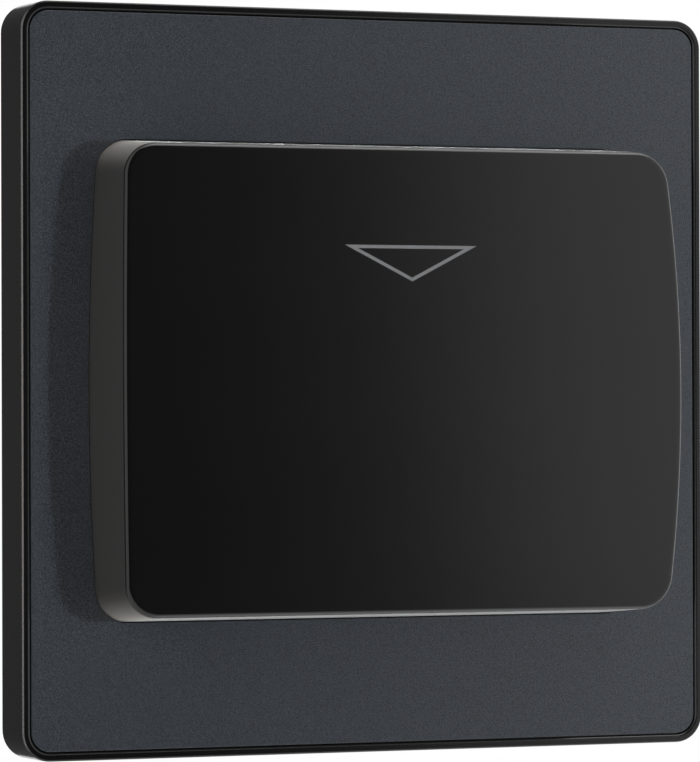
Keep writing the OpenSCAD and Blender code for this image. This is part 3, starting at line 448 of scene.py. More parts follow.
def zinc_plate():
    """Bright zinc with the faint blue and straw tints of its passivated coat."""
    zinc = Finish("zinc_plated_steel", (0.62, 0.62, 0.6), 0.28, (0.0002, 0.000002), (0.12, 0.12, 0.002),
                  (0.5, (0.75, 0.75, 0.73)), 1.0)
    tint = add_node(zinc.tree, "ValToRGB", Fac=noise(zinc.tree, 0.003, 2.0, 0.5))
    tint.color_ramp.elements[0].position = 0.35
    tint.color_ramp.elements[0].color = (0.5, 0.55, 0.66, 1)
    tint.color_ramp.elements[1].position = 0.65
    tint.color_ramp.elements[1].color = (0.72, 0.68, 0.54, 1)
    zinc.paint(mix_colour(zinc.tree, 0.35, zinc.colour, tint.outputs["Color"]))
    return zinc


def spring_steel():
    return Finish("spring_drawn_steel", (0.46, 0.46, 0.47), 0.24, (0.00008, 0.000002), (0.2, 0.1, 0.001),
                  metallic=1.0)


def switch_phenolic():
    return Finish("switch_black_phenolic", (0.013, 0.013, 0.015), 0.42, (0.0001, 0.000004),
                  (0.2, 0.1, 0.003), (0.5, BLACK_RUB))


def button_plastic():
    return Finish("button_red_plastic", (0.48, 0.045, 0.03), 0.25, (0.0004, 0.000002), (0.1, 0.08, 0.002),
                  (0.4, (0.6, 0.16, 0.12)))


def tinned_wire():
    return Finish("tinned_copper_wire", TINNED, 0.3, (0.0001, 0.000003), (0.2, 0.15, 0.001), metallic=1.0)


def board_mask():
    """Green solder mask, paler where it lies over the raised copper tracks on the board's front."""
    mask = Finish("board_green_mask", (0.014, 0.1, 0.038), 0.26, (0.0002, 0.000002), (0.15, 0.06, 0.004),
                  (0.6, (0.22, 0.2, 0.1)))
    raised = math_node(mask.tree, "LESS_THAN", mask.place()[1], BOARD_LO.y - TRACK_T / 2)
    mask.paint(mix_colour(mask.tree, raised, mask.colour, (0.05, 0.24, 0.08, 1)))
    return mask


def relay_case():
    return Finish("relay_blue_case", (0.02, 0.075, 0.25), 0.3, (0.0003, 0.000003), (0.1, 0.08, 0.006),
                  (0.4, (0.1, 0.18, 0.4)))


def film_epoxy():
    return Finish("film_yellow_case", (0.6, 0.36, 0.025), 0.4, (0.0004, 0.000004), (0.12, 0.1, 0.005),
                  (0.3, (0.7, 0.5, 0.15)))


def sleeve_film():
    """A dark blue sleeve with a paler stripe down its side, and the bare can inside the rim at its end."""
    sleeve = Finish("capacitor_blue_sleeve", (0.012, 0.02, 0.05), 0.22, (0.0006, 0.000003),
                    (0.15, 0.06, 0.004))
    place = sleeve.place()
    centre = (CAN_LO + CAN_HI) / 2
    radius = (CAN_HI.x - CAN_LO.x) / 2
    across = math_node(sleeve.tree, "SUBTRACT", place[0], centre.x)
    up = math_node(sleeve.tree, "SUBTRACT", place[2], centre.z)
    squares = [math_node(sleeve.tree, "POWER", side, 2.0) for side in (across, up)]
    out = math_node(sleeve.tree, "SQRT", math_node(sleeve.tree, "ADD", *squares))
    stripe = sleeve.between(math_node(sleeve.tree, "ARCTAN2", up, across), -2.6, -1.8)
    sleeve.paint(mix_colour(sleeve.tree, stripe, sleeve.colour, (0.35, 0.38, 0.42, 1)))
    inside = math_node(sleeve.tree, "LESS_THAN", out, radius - CAN_RIM_W)
    end = math_node(sleeve.tree, "GREATER_THAN", place[1], CAN_END_Y - CAN_DISH)
    sleeve.bare_metal(math_node(sleeve.tree, "MULTIPLY", inside, end), (0.7, 0.71, 0.72))
    return sleeve


def varistor_resin():
    """Dipped blue resin, and tinned legs below it."""
    resin = Finish("varistor_blue_resin", (0.035, 0.12, 0.3), 0.3, (0.0012, 0.00002), (0.12, 0.08, 0.004))
    legs = math_node(resin.tree, "LESS_THAN", resin.place()[1], BOARD_HI.y + LEG_H * 0.9)
    resin.bare_metal(legs, TINNED)
    return resin


def chip_resin():
    """Matt black resin between two rows of tinned legs."""
    resin = Finish("chip_black_resin", (0.009, 0.009, 0.01), 0.55, (0.00008, 0.000004), (0.15, 0.06, 0.003),
                   (0.3, BLACK_RUB))
    middle = (CHIP_LO.z + CHIP_HI.z) / 2
    beside = math_node(resin.tree, "ABSOLUTE", math_node(resin.tree, "SUBTRACT", resin.place()[2], middle))
    resin.bare_metal(math_node(resin.tree, "GREATER_THAN", beside, CHIP_BODY_HALF), TINNED)
    return resin


def resistor_lacquer():
    """Grey-blue lacquer with colour bands, and tinned legs at both ends."""
    lacquer = Finish("resistor_grey_lacquer", (0.22, 0.31, 0.4), 0.42, (0.0003, 0.000006),
                     (0.12, 0.1, 0.003))
    along = lacquer.place()[0]
    bands = ((2.2, (0.3, 0.13, 0.03)), (3.8, (0.03, 0.03, 0.035)), (5.0, (0.4, 0.03, 0.02)),
             (7.4, (0.55, 0.4, 0.1)))
    for at, tone in bands:
        start = RESISTOR_LO.x + at * MM
        band = lacquer.between(along, start, start + BAND_W)
        lacquer.paint(mix_colour(lacquer.tree, band, lacquer.colour, (*tone, 1)))
    middle = (RESISTOR_LO.x + RESISTOR_HI.x) / 2
    beside = math_node(lacquer.tree, "ABSOLUTE", math_node(lacquer.tree, "SUBTRACT", along, middle))
    lacquer.bare_metal(math_node(lacquer.tree, "GREATER_THAN", beside, RESISTOR_BODY_HALF), TINNED)
    return lacquer


def case_plastic():
    return Finish("case_spark_black", (0.012, 0.012, 0.013), 0.5, (0.0003, 0.00001), (0.2, 0.1, 0.01),
                  (0.45, BLACK_RUB))


def terminal_brass():
    """Machined brass with fine turning marks and brighter edges."""
    brass = Finish("terminal_machined_brass", (0.68, 0.46, 0.16), 0.3, (0.0001, 0.000003),
                   (0.15, 0.15, 0.003), (0.6, (0.86, 0.68, 0.34)), 1.0)
    marks = add_node(brass.tree, "TexWave", {"bands_direction": "Z"}, Scale=4000.0, Distortion=2.0)
    feed(brass.tree, marks.inputs["Vector"], add_node(brass.tree, "TexCoord").outputs["Object"])
    level = add_node(brass.tree, "MapRange", Value=marks.outputs["Fac"], To_Min=0.85, To_Max=1.05)
    brass.paint(scaled(brass.tree, brass.colour, level.outputs["Result"]))
    return brass


# Mesh tools
def cad_copy(node):
    """The node's own shape as faces that can be edited: corners joined and flat areas merged."""
    bm = bmesh.new()
    bm.from_mesh(NODES[node].data)
    bmesh.ops.remove_doubles(bm, verts=bm.verts, dist=1e-6)
    bmesh.ops.dissolve_limit(bm, angle_limit=math.radians(0.5), verts=bm.verts, edges=bm.edges)
    return bm


def sharp_edges(bm, wanted=None, angle=30):
    limit = math.radians(angle)
    found = []
    for edge in bm.edges:
        if edge.is_manifold and edge.calc_face_angle() > limit:
            if wanted is None or all(wanted(vert.co) for vert in edge.verts):
                found.append(edge)
    return found


def round_edges(bm, edges, width, segments=3, clamp=False):
    bmesh.ops.bevel(bm, geom=edges, offset=width, offset_type="OFFSET", segments=segments,
                    profile=0.5, affect="EDGES", clamp_overlap=clamp)


def outline_gap(co, half, corner_r):
    """How far a point lies outside a rounded square, seen from the front."""
    x = max(abs(co.x) - half + corner_r, 0)
    z = max(abs(co.z) - half + corner_r, 0)
    return math.hypot(x, z) - corner_r


def make_object(name, bm, finish, smooth_angle=32):
    mesh = bpy.data.meshes.new(name)
    bm.to_mesh(mesh)
    bm.free()
    mesh.shade_smooth()
    mesh.set_sharp_from_angle(angle=math.radians(smooth_angle))
    mesh.materials.append(finish.material)
    obj = link(bpy.data.objects.new(name, mesh))
    even = obj.modifiers.new("even_normals", "WEIGHTED_NORMAL")
    even.keep_sharp = True
    return obj


def put(name, bm, node, finish, replaces=True):
    """Makes a piece that rides on the node's body and, if told to, stands for it: the node is hidden."""
    obj = make_object(name, bm, finish)
    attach(obj, NODES[node]["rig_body"])
    if replaces:
        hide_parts(node)


def add_box(bm, x0, x1, y0, y1, z0, z1):
    corners = [bm.verts.new((x, y, z)) for x in (x0, x1) for y in (y0, y1) for z in (z0, z1)]
    for a, b, c, d in ((0, 1, 3, 2), (4, 6, 7, 5), (0, 4, 5, 1), (2, 3, 7, 6), (0, 2, 6, 4), (1, 5, 7, 3)):
        bm.faces.new((corners[a], corners[b], corners[c], corners[d]))


def add_rows(bm, rows):
    """A closed skin through loops of points. A row of one point is an end that closes to a tip."""
    loops = [[bm.verts.new(point) for point in row] for row in rows]
    for near, far in zip(loops, loops[1:]):
        count = max(len(near), len(far))
        for i in range(count):
            j = (i + 1) % count
            if len(near) == 1:
                bm.faces.new((near[0], far[j], far[i]))
            elif len(far) == 1:
                bm.faces.new((near[i], near[j], far[0]))
            else:
                bm.faces.new((near[i], near[j], far[j], far[i]))
    for loop in (loops[0], loops[-1]):
        if len(loop) > 2:
            bm.faces.new(loop)


def add_prism(bm, outline, x0, x1):
    """An outline of (Y, Z) points drawn out along X."""
    add_rows(bm, [[(x, y, z) for y, z in outline] for x in (x0, x1)])


def add_rod(bm, x, z, radius, y0, y1, sides=40):
    def loop(y):
        turns = [2 * math.pi * i / sides for i in range(sides)]
        return [(x + radius * math.cos(a), y, z + radius * math.sin(a)) for a in turns]
    add_rows(bm, [loop(y0), loop(y1)])


def combine(bm, other, operation):
    """Cuts the other mesh from this one, or joins it on."""
    holders = []
    for name, source in (("body", bm), ("tool", other)):
        mesh = bpy.data.meshes.new(name)
        bmesh.ops.recalc_face_normals(source, faces=source.faces)
        source.to_mesh(mesh)
        source.free()
        holders.append(link(bpy.data.objects.new(name, mesh)))
    body, tool = holders
    step = body.modifiers.new("combine", "BOOLEAN")
    step.operation = operation
    step.object = tool
    step.solver = "EXACT"
    result = bmesh.new()
    result.from_object(body, bpy.context.evaluated_depsgraph_get())
    for holder in holders:
        mesh = holder.data
        bpy.data.objects.remove(holder)
        bpy.data.meshes.remove(mesh)
    return result


# Wall frame and front plate
def make_wall_frame(finish):
    bm = cad_copy("wall_frame")

    def on_outline(co, inset):
        return abs(outline_gap(co, FRAME_HALF - inset, FRAME_CORNER_R - inset)) < NEAR

    outer = sharp_edges(bm, lambda co: abs(co.y - RIM_Y) < NEAR and on_outline(co, 0))
    round_edges(bm, outer, FRONT_ROUND, 4)
    inner = sharp_edges(bm, lambda co: abs(co.y - RIM_Y) < NEAR and on_outline(co, RIM_W))
    round_edges(bm, inner, RIM_ROUND, 6)
    back = sharp_edges(bm, lambda co: abs(co.y) < NEAR and on_outline(co, 0))
    round_edges(bm, back, BACK_ROUND, 2)
    put("wall_frame_skin", bm, "wall_frame", finish)


def make_front_plate(finish):
    bm = cad_copy("front_plate")
    half = PLATE_HI.x
    corner = FRAME_CORNER_R - RIM_W - (FRAME_HALF - RIM_W - half)

    def on_rim(co):
        return co.y < PLATE_LO.y + NEAR and abs(outline_gap(co, half, corner)) < NEAR

    round_edges(bm, sharp_edges(bm, on_rim), PLATE_ROUND, 2)
    put("front_plate_skin", bm, "front_plate", finish)


# Card housing: rings of points that follow the solid's own rules, set closer
def bow_x(z):
    return HOUSING_HALF_W - (z - BOW_Z) ** 2 / (2 * BOW_R)


def front_y(z):
    return RIM_Y - HOUSING_RISE + (z - ARCH_Z) ** 2 / (2 * ARCH_R)


POCKET_Y0 = front_y(FRONT_HALF_H) + HOUSING_WALL + 0.1 * MM
SCREW_X = 22 * MM
SCREW_Z = 2.8 * MM - PANEL_TOP
PRONG_Z = HOUSING_HALF_H + FLANGE_W / 2


def half_outline(half_h, inset):
    """Right half of the outline from bottom to top, drawn in by an inset."""
    top = half_h - inset
    r = max(CORNER_R - inset, EDGE_R)
    corner_z = top - r
    points = []
    for i in range(CORNER_STEPS + 1):
        a = math.radians(-90 + 90 * i / CORNER_STEPS)
        points.append((bow_x(-corner_z) - inset - r + r * math.cos(a), -corner_z + r * math.sin(a)))
    for i in range(1, BOW_STEPS):
        z = -corner_z + 2 * corner_z * i / BOW_STEPS
        points.append((bow_x(z) - inset, z))
    for i in range(CORNER_STEPS + 1):
        a = math.radians(90 * i / CORNER_STEPS)
        points.append((bow_x(corner_z) - inset - r + r * math.cos(a), corner_z + r * math.sin(a)))
    return points


def ring(half_h, inset, depth):
    """A closed loop of points. Depth gives Y for a height."""
    half = half_outline(half_h, inset)
    loop = half + [(-x, z) for x, z in reversed(half)]
    return [Vector((x, depth(z), z)) for x, z in loop]


def loft(bm, rings):
    """Walls through rings of points. The last ring is closed by strips from left to right."""
    rows = [[bm.verts.new(point) for point in points] for points in rings]
    count = len(rows[0])
    for near, far in zip(rows, rows[1:]):
        for i in range(count):
            j = (i + 1) % count
            bm.faces.new((near[i], near[j], far[j], far[i]))
    last = rows[-1]
    for i in range(count // 2 - 1):
        bm.faces.new((last[i], last[i + 1], last[count - 2 - i], last[count - 1 - i]))


def housing_shell():
    """The moulding's outside from the flange's back to the arched front, and its hollow."""
    bm = bmesh.new()
    back_inner = ring(HOUSING_HALF_H, HOUSING_WALL, lambda z: FLANGE_Y1)
    outside = [back_inner]
    flange = ((-FLANGE_W + FLANGE_ROUND, FLANGE_Y1), (-FLANGE_W, FLANGE_Y1 - FLANGE_ROUND),
              (-FLANGE_W, PLATE_Y1 + FLANGE_ROUND), (-FLANGE_W + FLANGE_ROUND, PLATE_Y1), (0, PLATE_Y1))
    for inset, y in flange:
        outside.append(ring(HOUSING_HALF_H, inset, lambda z, y=y: y))
    for i in range(EDGE_STEPS + 1):
        a = math.radians(90 * i / EDGE_STEPS)
        inset = EDGE_R * (1 - math.cos(a))
        back = EDGE_R * (1 - math.sin(a))
        outside.append(ring(FRONT_HALF_H, inset, lambda z, back=back: front_y(z) + back))
    outside.append(ring(FRONT_HALF_H, EDGE_R + FRONT_MARGIN, front_y))
    loft(bm, outside)
    loft(bm, [back_inner, ring(FRONT_HALF_H, HOUSING_WALL, lambda z: front_y(z) + HOUSING_WALL)])
    bmesh.ops.remove_doubles(bm, verts=bm.verts, dist=1e-7)
    return bm


def add_front_rib(bm, x):
    """A rib inside the front that keeps the card off the wall. Its front follows the arch."""
    steps = 24
    reach = FRONT_HALF_H - HOUSING_WALL / 2
    heights = [-reach + 2 * reach * i / steps for i in range(steps + 1)]
    outline = [(front_y(z) + HOUSING_WALL / 2, z) for z in heights]
    outline += [(POCKET_Y0, z) for z in reversed(heights)]
    add_prism(bm, outline, x - RIB_T / 2, x + RIB_T / 2)


def add_prong(bm, x, side):
    """A push-fit prong behind the flange, with a wedge-shaped tip."""
    z = side * PRONG_Z
    root = FLANGE_Y1 - 0.7 * MM
    end = HOUSING_HI.y
    half = PRONG_T / 2
    edge = [(root, half), (end - half, half), (end - half * 0.2, half / 2), (end, half / 4)]
    outline = [(y, z - out) for y, out in edge]
    outline += [(y, z + out) for y, out in reversed(edge)]
    add_prism(bm, outline, x - PRONG_W / 2, x + PRONG_W / 2)


def make_card_housing(finish):
    inner = bmesh.new()
    cuts = bmesh.new()
    past = 1 * MM
    for side in (-1, 1):
        add_front_rib(inner, side * RIB_X)
        add_rod(inner, side * SCREW_X, SCREW_Z, BOSS_R, front_y(SCREW_Z) + HOUSING_WALL / 2, PANEL_Y0)
        add_box(inner, side * HOOK_X - HOOK_W / 2, side * HOOK_X + HOOK_W / 2, HOOK_Y0, HOOK_Y0 + HOOK_T,
                PANEL_TOP - HOOK_LAP, HOUSING_HALF_H - HOUSING_WALL / 2)
        add_rod(cuts, side * SCREW_X, SCREW_Z, BOSS_HOLE_R, BOSS_HOLE_Y0, PANEL_Y0 + past)
        for up in (-1, 1):
            add_prong(inner, side * PRONG_X, up)
            add_rod(cuts, side * PEG_X, up * PEG_Z, BOSS_HOLE_R, PLATE_Y1 - past, FLANGE_Y1 + past)
    add_box(cuts, -POCKET_HALF_W, POCKET_HALF_W, POCKET_Y0, PANEL_Y0, PANEL_TOP, HOUSING_HALF_H + past)
    bm = combine(housing_shell(), inner, "UNION")
    bm = combine(bm, cuts, "DIFFERENCE")
    near = 0.02 * MM

    def on_mouth(co):
        to_side = abs(abs(co.x) - POCKET_HALF_W)
        to_front = min(abs(co.y - POCKET_Y0), abs(co.y - PANEL_Y0))
        beside = to_side < near and POCKET_Y0 - near < co.y < PANEL_Y0 + near
        before = to_front < near and abs(co.x) < POCKET_HALF_W + near
        return co.z > FRONT_HALF_H - 0.1 * MM and (beside or before)

    round_edges(bm, sharp_edges(bm, on_mouth), SLOT_BEVEL, 3)
    put("card_housing_shell", bm, "card_housing", finish)


def make_arrow(finish):
    """The outline of a triangle that points down, as a thin print on the arched front."""
    corners = [Vector((ARROW_X - ARROW_HALF_W, ARROW_TOP)), Vector((ARROW_X + ARROW_HALF_W, ARROW_TOP)),
               Vector((ARROW_X, ARROW_TIP))]
    inner = []
    for i in range(3):
        to_last = (corners[i - 1] - corners[i]).normalized()
        to_next = (corners[(i + 1) % 3] - corners[i]).normalized()
        half_angle = to_last.angle(to_next) / 2
        inner.append(corners[i] + (to_last + to_next).normalized() * (ARROW_STROKE / math.sin(half_angle)))
    steps = 16

    def row(loop, lift):
        points = []
        for i in range(3):
            for k in range(steps):
                p = loop[i].lerp(loop[(i + 1) % 3], k / steps)
                points.append((p.x, front_y(p.y) - lift, p.y))
        return points

    bm = bmesh.new()
    rows = [row(corners, -INK_T), row(corners, INK_T), row(inner, INK_T), row(inner, -INK_T)]
    loops = [[bm.verts.new(point) for point in points] for points in rows]
    for near, far in zip(loops, loops[1:] + loops[:1]):
        for i in range(3 * steps):
            j = (i + 1) % (3 * steps)
            bm.faces.new((near[i], near[j], far[j], far[i]))
    bmesh.ops.recalc_face_normals(bm, faces=bm.faces)
    put("arrow_print", bm, "card_housing", finish, replaces=False)


# Card lever, its pin and spring
def make_softened(node, finish, width, segments=2):
    """The node's own shape with every sharp edge rounded off a little."""
    bm = cad_copy(node)
    round_edges(bm, sharp_edges(bm), width, segments, True)
    put(node + "_skin", bm, node, finish)


def add_tube(bm, path, radius, sides=12):
    """A round wire along a path of points, with flat ends."""
    rows = []
    across = Vector((1, 0, 0))
    for i, point in enumerate(path):
        heading = (path[min(i + 1, len(path) - 1)] - path[max(i - 1, 0)]).normalized()
        across = (across - heading * across.dot(heading)).normalized()
        other = heading.cross(across)
        turns = [2 * math.pi * k / sides for k in range(sides)]
        rows.append([point + (across * math.cos(a) + other * math.sin(a)) * radius for a in turns])
    add_rows(bm, rows)


def spring_point(degrees, leg=0.0):
    """A point on the wire: on the coil round the pin, or out along a straight leg."""
    a = math.radians(degrees)
    share = (degrees - SPRING_START) / (SPRING_END - SPRING_START) - 0.5
    width = (SPRING_END - SPRING_START) / 360 * SPRING_PITCH
    return Vector((share * width, LEVER_Y + SPRING_R * math.cos(a) - leg * math.sin(a),
                   LEVER_Z + SPRING_R * math.sin(a) + leg * math.cos(a)))


def make_return_spring(finish):
    front_steps, steps, back_steps = 10, 110, 8
    turn = (SPRING_END - SPRING_START) / steps
    path = [spring_point(SPRING_START, -SPRING_FRONT_LEG * (1 - i / front_steps)) for i in range(front_steps)]
    path += [spring_point(SPRING_START + turn * i) for i in range(steps + 1)]
    path += [spring_point(SPRING_END, SPRING_BACK_LEG * (i + 1) / back_steps) for i in range(back_steps)]
    bm = bmesh.new()
    add_tube(bm, path, SPRING_WIRE_R)
    spring = make_object("return_spring_coil", bm, finish, 60)
    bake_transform(spring)
    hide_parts("return_spring")


# Screws: the head's seat is at Y = 0 and the shank runs to +Y. A head is points of (share of its radius, Y).
def pan_head(height):
    return [(0.0, -height), (0.5, -height), (0.75, -0.95 * height), (0.92, -0.75 * height),
            (1.0, -0.45 * height), (1.0, -0.08 * height), (0.96, 0.0)]


def flat_head(height):
    return [(0.0, 0.0), (0.96, 0.0), (1.0, 0.04 * height), (0.98, 0.12 * height)]


def cheese_head(height):
    return [(0.0, -height), (0.88, -height), (0.96, -0.94 * height), (1.0, -0.82 * height),
            (1.0, -0.06 * height), (0.97, 0.0)]


def screw_mesh(head, head_r, head_h, shank_r, shank_y0, shank_y1, pitch, tip):
    """A screw with a turned head, a helical thread and a tapered tip."""
    sides = 24
    turns = [2 * math.pi * i / sides for i in range(sides)]
    rows = []
    for share, y in head(head_h):
        r = share * head_r
        rows.append([(0, y, 0)] if r == 0 else [(r * math.cos(a), y, r * math.sin(a)) for a in turns])
    depth = 0.22 * shank_r
    count = int((shank_y1 - shank_y0) / pitch * 6)
    for k in range(count + 1):
        y = shank_y0 + (shank_y1 - shank_y0) * k / count
        taper = min(1.0, 0.25 + (shank_y1 - y) / tip)
        row = []
        for a in turns:
            wave = ((y - shank_y0) / pitch - a / (2 * math.pi)) % 1
            r = (shank_r - depth * abs(2 * wave - 1)) * taper
            row.append((r * math.cos(a), y, r * math.sin(a)))
        rows.append(row)
    bm = bmesh.new()
    add_rows(bm, rows)
    return bm


def cross_recess(bm, top, size, depth):
    """Sinks a tapered cross in the head, one arm after the other."""
    for wide, high in ((size, size * 0.24), (size * 0.24, size)):
        tool = bmesh.new()
        rows = []
        for y, share in ((top - 0.2 * MM, 1.05), (top + depth, 0.72)):
            x, z = wide / 2 * share, high / 2 * share
            rows.append([(-x, y, -z), (x, y, -z), (x, y, z), (-x, y, z)])
        add_rows(tool, rows)
        bm = combine(bm, tool, "DIFFERENCE")
    return bm


def slot_recess(bm, top, width, depth, reach):
    """Cuts a straight slot across the head."""
    tool = bmesh.new()
    add_box(tool, -reach, reach, top - 0.2 * MM, top + depth, -width / 2, width / 2)
    return combine(bm, tool, "DIFFERENCE")


def make_screws(node, screw, places, towards_back, finish):
    """Copies of one screw at (X, Y, Z) places, each turned a little further round than the last."""
    source = bpy.data.meshes.new(node)
    screw.to_mesh(source)
    screw.free()
    bm = bmesh.new()
    for i, place in enumerate(places):
        first = len(bm.verts)
        bm.from_mesh(source)
        bm.verts.ensure_lookup_table()
        added = bm.verts[first:]
        flip = Matrix.Identity(4) if towards_back else Matrix.Rotation(math.pi, 4, "Z")
        turn = Matrix.Rotation(math.radians(35 + 67 * i), 4, "Y")
        bmesh.ops.transform(bm, matrix=Matrix.Translation(place) @ flip @ turn, verts=added)
    bpy.data.meshes.remove(source)
    put(node + "_threaded", bm, node, finish)


def make_guide_screws(finish):
    head_h = 1.3 * MM
    screw = screw_mesh(pan_head, 2 * MM, head_h, shank_r=1 * MM, shank_y0=0.05 * MM, shank_y1=5 * MM,
                       pitch=0.65 * MM, tip=1.6 * MM)
    screw = cross_recess(screw, -head_h, size=2.3 * MM, depth=0.8 * MM)
    places = [(side * SCREW_X, PANEL_Y1, SCREW_Z) for side in (-1, 1)]
    make_screws("guide_screws", screw, places, False, finish)


def make_board_screws(finish):
    lo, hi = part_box("board_screws")
    head_r = 2 * MM
    head_h = 1.2 * MM
    screw = screw_mesh(pan_head, head_r, head_h, shank_r=1 * MM, shank_y0=0.05 * MM, shank_y1=5 * MM,
                       pitch=0.65 * MM, tip=1.6 * MM)
    screw = cross_recess(screw, -head_h, size=2.2 * MM, depth=0.75 * MM)
    places = [(side * (hi.x - head_r), BOARD_LO.y, (lo.z + hi.z) / 2) for side in (-1, 1)]
    make_screws("board_screws", screw, places, True, finish)


def make_case_screws(finish):
    lo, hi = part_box("case_screws")
    head_r = 2.7 * MM
    head_h = 1.4 * MM
    screw = screw_mesh(flat_head, head_r, head_h, shank_r=1.4 * MM, shank_y0=head_h, shank_y1=hi.y - lo.y,
                       pitch=0.9 * MM, tip=2 * MM)
    screw = cross_recess(screw, 0.0, size=3 * MM, depth=1.0 * MM)
    places = [(x * (hi.x - head_r), lo.y, z * (hi.z - head_r)) for x in (-1, 1) for z in (-1, 1)]
    make_screws("case_screws", screw, places, True, finish)


def make_terminal_screws(finish):
    lo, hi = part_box("terminal_screws")
    head_r = 2.9 * MM
    head_h = 2.2 * MM
    seat = hi.y - head_h
    screw = screw_mesh(cheese_head, head_r, head_h, shank_r=1.6 * MM, shank_y0=0.05 * MM,
                       shank_y1=seat - lo.y, pitch=0.7 * MM, tip=0.9 * MM)
    screw = slot_recess(screw, -head_h, width=0.7 * MM, depth=1.1 * MM, reach=2 * head_r)
    span = hi.x - head_r
    places = [(x * span, seat, (lo.z + hi.z) / 2) for x in (-1, 0, 1)]
    make_screws("terminal_screws", screw, places, False, finish)


# Board parts
def add_solder(bm, x, z, y, lift, tip=(), size=1.0):
    """A hollow-sided cone of solder on the board, and the end of the leg in it where a tip is given."""
    sides = 24
    turns = [2 * math.pi * i / sides for i in range(sides)]
    rows = []
    for r, rise in (*SOLDER_CONE, *tip):
        level = y + lift * size * rise * MM
        reach = r * size * MM
        if r == 0:
            rows.append([(x, level, z)])
        else:
            rows.append([(x + reach * math.cos(a), level, z + reach * math.sin(a)) for a in turns])
    add_rows(bm, rows)


def add_track(bm, path, width, y0, y1):
    """A flat track of one width along a path of (X, Z) points, with mitred corners."""
    rows = []
    for i, point in enumerate(path):
        into = point - path[i - 1] if i else path[1] - point
        onward = path[i + 1] - point if i + 1 < len(path) else into
        half_turn = into.angle(onward) / 2
        heading = (into.normalized() + onward.normalized()).normalized()
        out = Vector((-heading.y, heading.x)) * (width / 2 / math.cos(half_turn))
        a, b = point + out, point - out
        rows.append([(a.x, y0, a.y), (b.x, y0, b.y), (b.x, y1, b.y), (a.x, y1, a.y)])
    add_rows(bm, rows)


def make_smoothing_capacitor(finish):
    """The sleeved can with a cross-shaped relief stamped in its end."""
    bm = cad_copy("smoothing_capacitor")
    round_edges(bm, sharp_edges(bm), 0.12 * MM, 3, True)
    centre = (CAN_LO + CAN_HI) / 2
    thin = CAN_CROSS_T / 2
    for wide, high in ((CAN_CROSS_HALF, thin), (thin, CAN_CROSS_HALF)):
        tool = bmesh.new()
        add_box(tool, centre.x - wide, centre.x + wide, CAN_END_Y - 0.15 * MM, CAN_END_Y + 0.1 * MM,
                centre.z - high, centre.z + high)
        bm = combine(bm, tool, "DIFFERENCE")
    put("smoothing_capacitor_can", bm, "smoothing_capacitor", finish)


def make_switch_leads(finish):
    """The two pins, each with a cone of solder where it comes through the board."""
    bm = cad_copy("switch_leads")
    round_edges(bm, sharp_edges(bm), 0.12 * MM, 2, True)
    lo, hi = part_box("switch_leads")
    radius = (hi.z - lo.z) / 2
    middle = (lo.z + hi.z) / 2
    for x in (lo.x + radius, hi.x - radius):
        add_solder(bm, x, middle, BOARD_HI.y, 1.0)
    bmesh.ops.recalc_face_normals(bm, faces=bm.faces)
    put("switch_leads_soldered", bm, "switch_leads", finish)


def make_board_solder(finish):
    """The cones of solder round the parts' legs on the board's front."""
    bm = bmesh.new()
    for places, size in ((LEGS, 1.0), (CHIP_LEGS, 0.7)):
        for x, z in places:
            add_solder(bm, x * MM, z * MM, BOARD_LO.y, -0.9, LEG_TIP, size)
    bmesh.ops.recalc_face_normals(bm, faces=bm.faces)
    put("board_solder", bm, "switch_leads", finish, replaces=False)


def make_circuit_board(finish):
    """The board with its copper tracks standing a little proud of its front."""
    bm = cad_copy("circuit_board")
    round_edges(bm, sharp_edges(bm), 0.08 * MM, 2, True)
    for i, (width, points) in enumerate(TRACKS):
        top = BOARD_LO.y - TRACK_T + TRACK_STEP * i
        add_track(bm, [Vector(point) * MM for point in points], width * MM, top, BOARD_LO.y + TRACK_T)
    bmesh.ops.recalc_face_normals(bm, faces=bm.faces)
    put("circuit_board_skin", bm, "circuit_board", finish)


def make_rear_case(finish):
    bm = cad_copy("rear_case")
    lo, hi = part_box("rear_case")
    corner = 3 * MM

    def outer_back(co):
        reach = max(abs(co.x) - (hi.x - corner), 0), max(abs(co.z) - (hi.z - corner), 0)
        return co.y > hi.y - NEAR and math.hypot(*reach) > corner - NEAR

    round_edges(bm, sharp_edges(bm, outer_back), 0.7 * MM, 4)
    rest = sharp_edges(bm, lambda co: co.y > hi.y - NEAR or co.z < lo.z + NEAR)
    round_edges(bm, rest, 0.1 * MM, 2, True)
    put("rear_case_skin", bm, "rear_case", finish)


# Studio
FLOOR_Z = -0.6
FLOOR_HALF = 2.0
FLOOR_TONE = (0.86, 0.86, 0.86, 1)
FLOOR_GLOW = 0.85
AMBIENT = 0.34
AMBIENT_TINT = (1.02, 1.0, 0.97)
KEY_TINT = (0.97, 1.0, 1.04)
BOUNCE_TINT = (1.12, 1.0, 0.87)
FRONT_CARD_Y = -1.2
FRONT_CARD_LEFT = -0.56
FRONT_CARD_EDGE = 25.0
FRONT_CARD_LEAN = 0.02
FRONT_CARD_LEVEL = 0.004
BACK_CARD_Y = 0.5
BACK_CARD_LEFT = -0.42
BACK_CARD_RIGHT = 0.07
BACK_CARD_LEVEL = 0.11
CARD_REACH = 3.0


def background_mix(tree):
    """One where a ray from the camera, a mirror-like surface or a clear one arrives, else zero."""
    path = add_node(tree, "LightPath")
    seen = math_node(tree, "MAXIMUM", path.outputs["Is Camera Ray"], path.outputs["Is Glossy Ray"])
    return math_node(tree, "MAXIMUM", seen, path.outputs["Is Transmission Ray"])


def make_world():
    world = bpy.data.worlds.new("studio")
    scene.world = world
    world.use_nodes = True
    tree = world.node_tree
    fill = [AMBIENT * share for share in AMBIENT_TINT]
    colour = mix_colour(tree, background_mix(tree), (*fill, 1), (1, 1, 1, 1))
    tree.links.new(colour, tree.nodes["Background"].inputs["Color"])


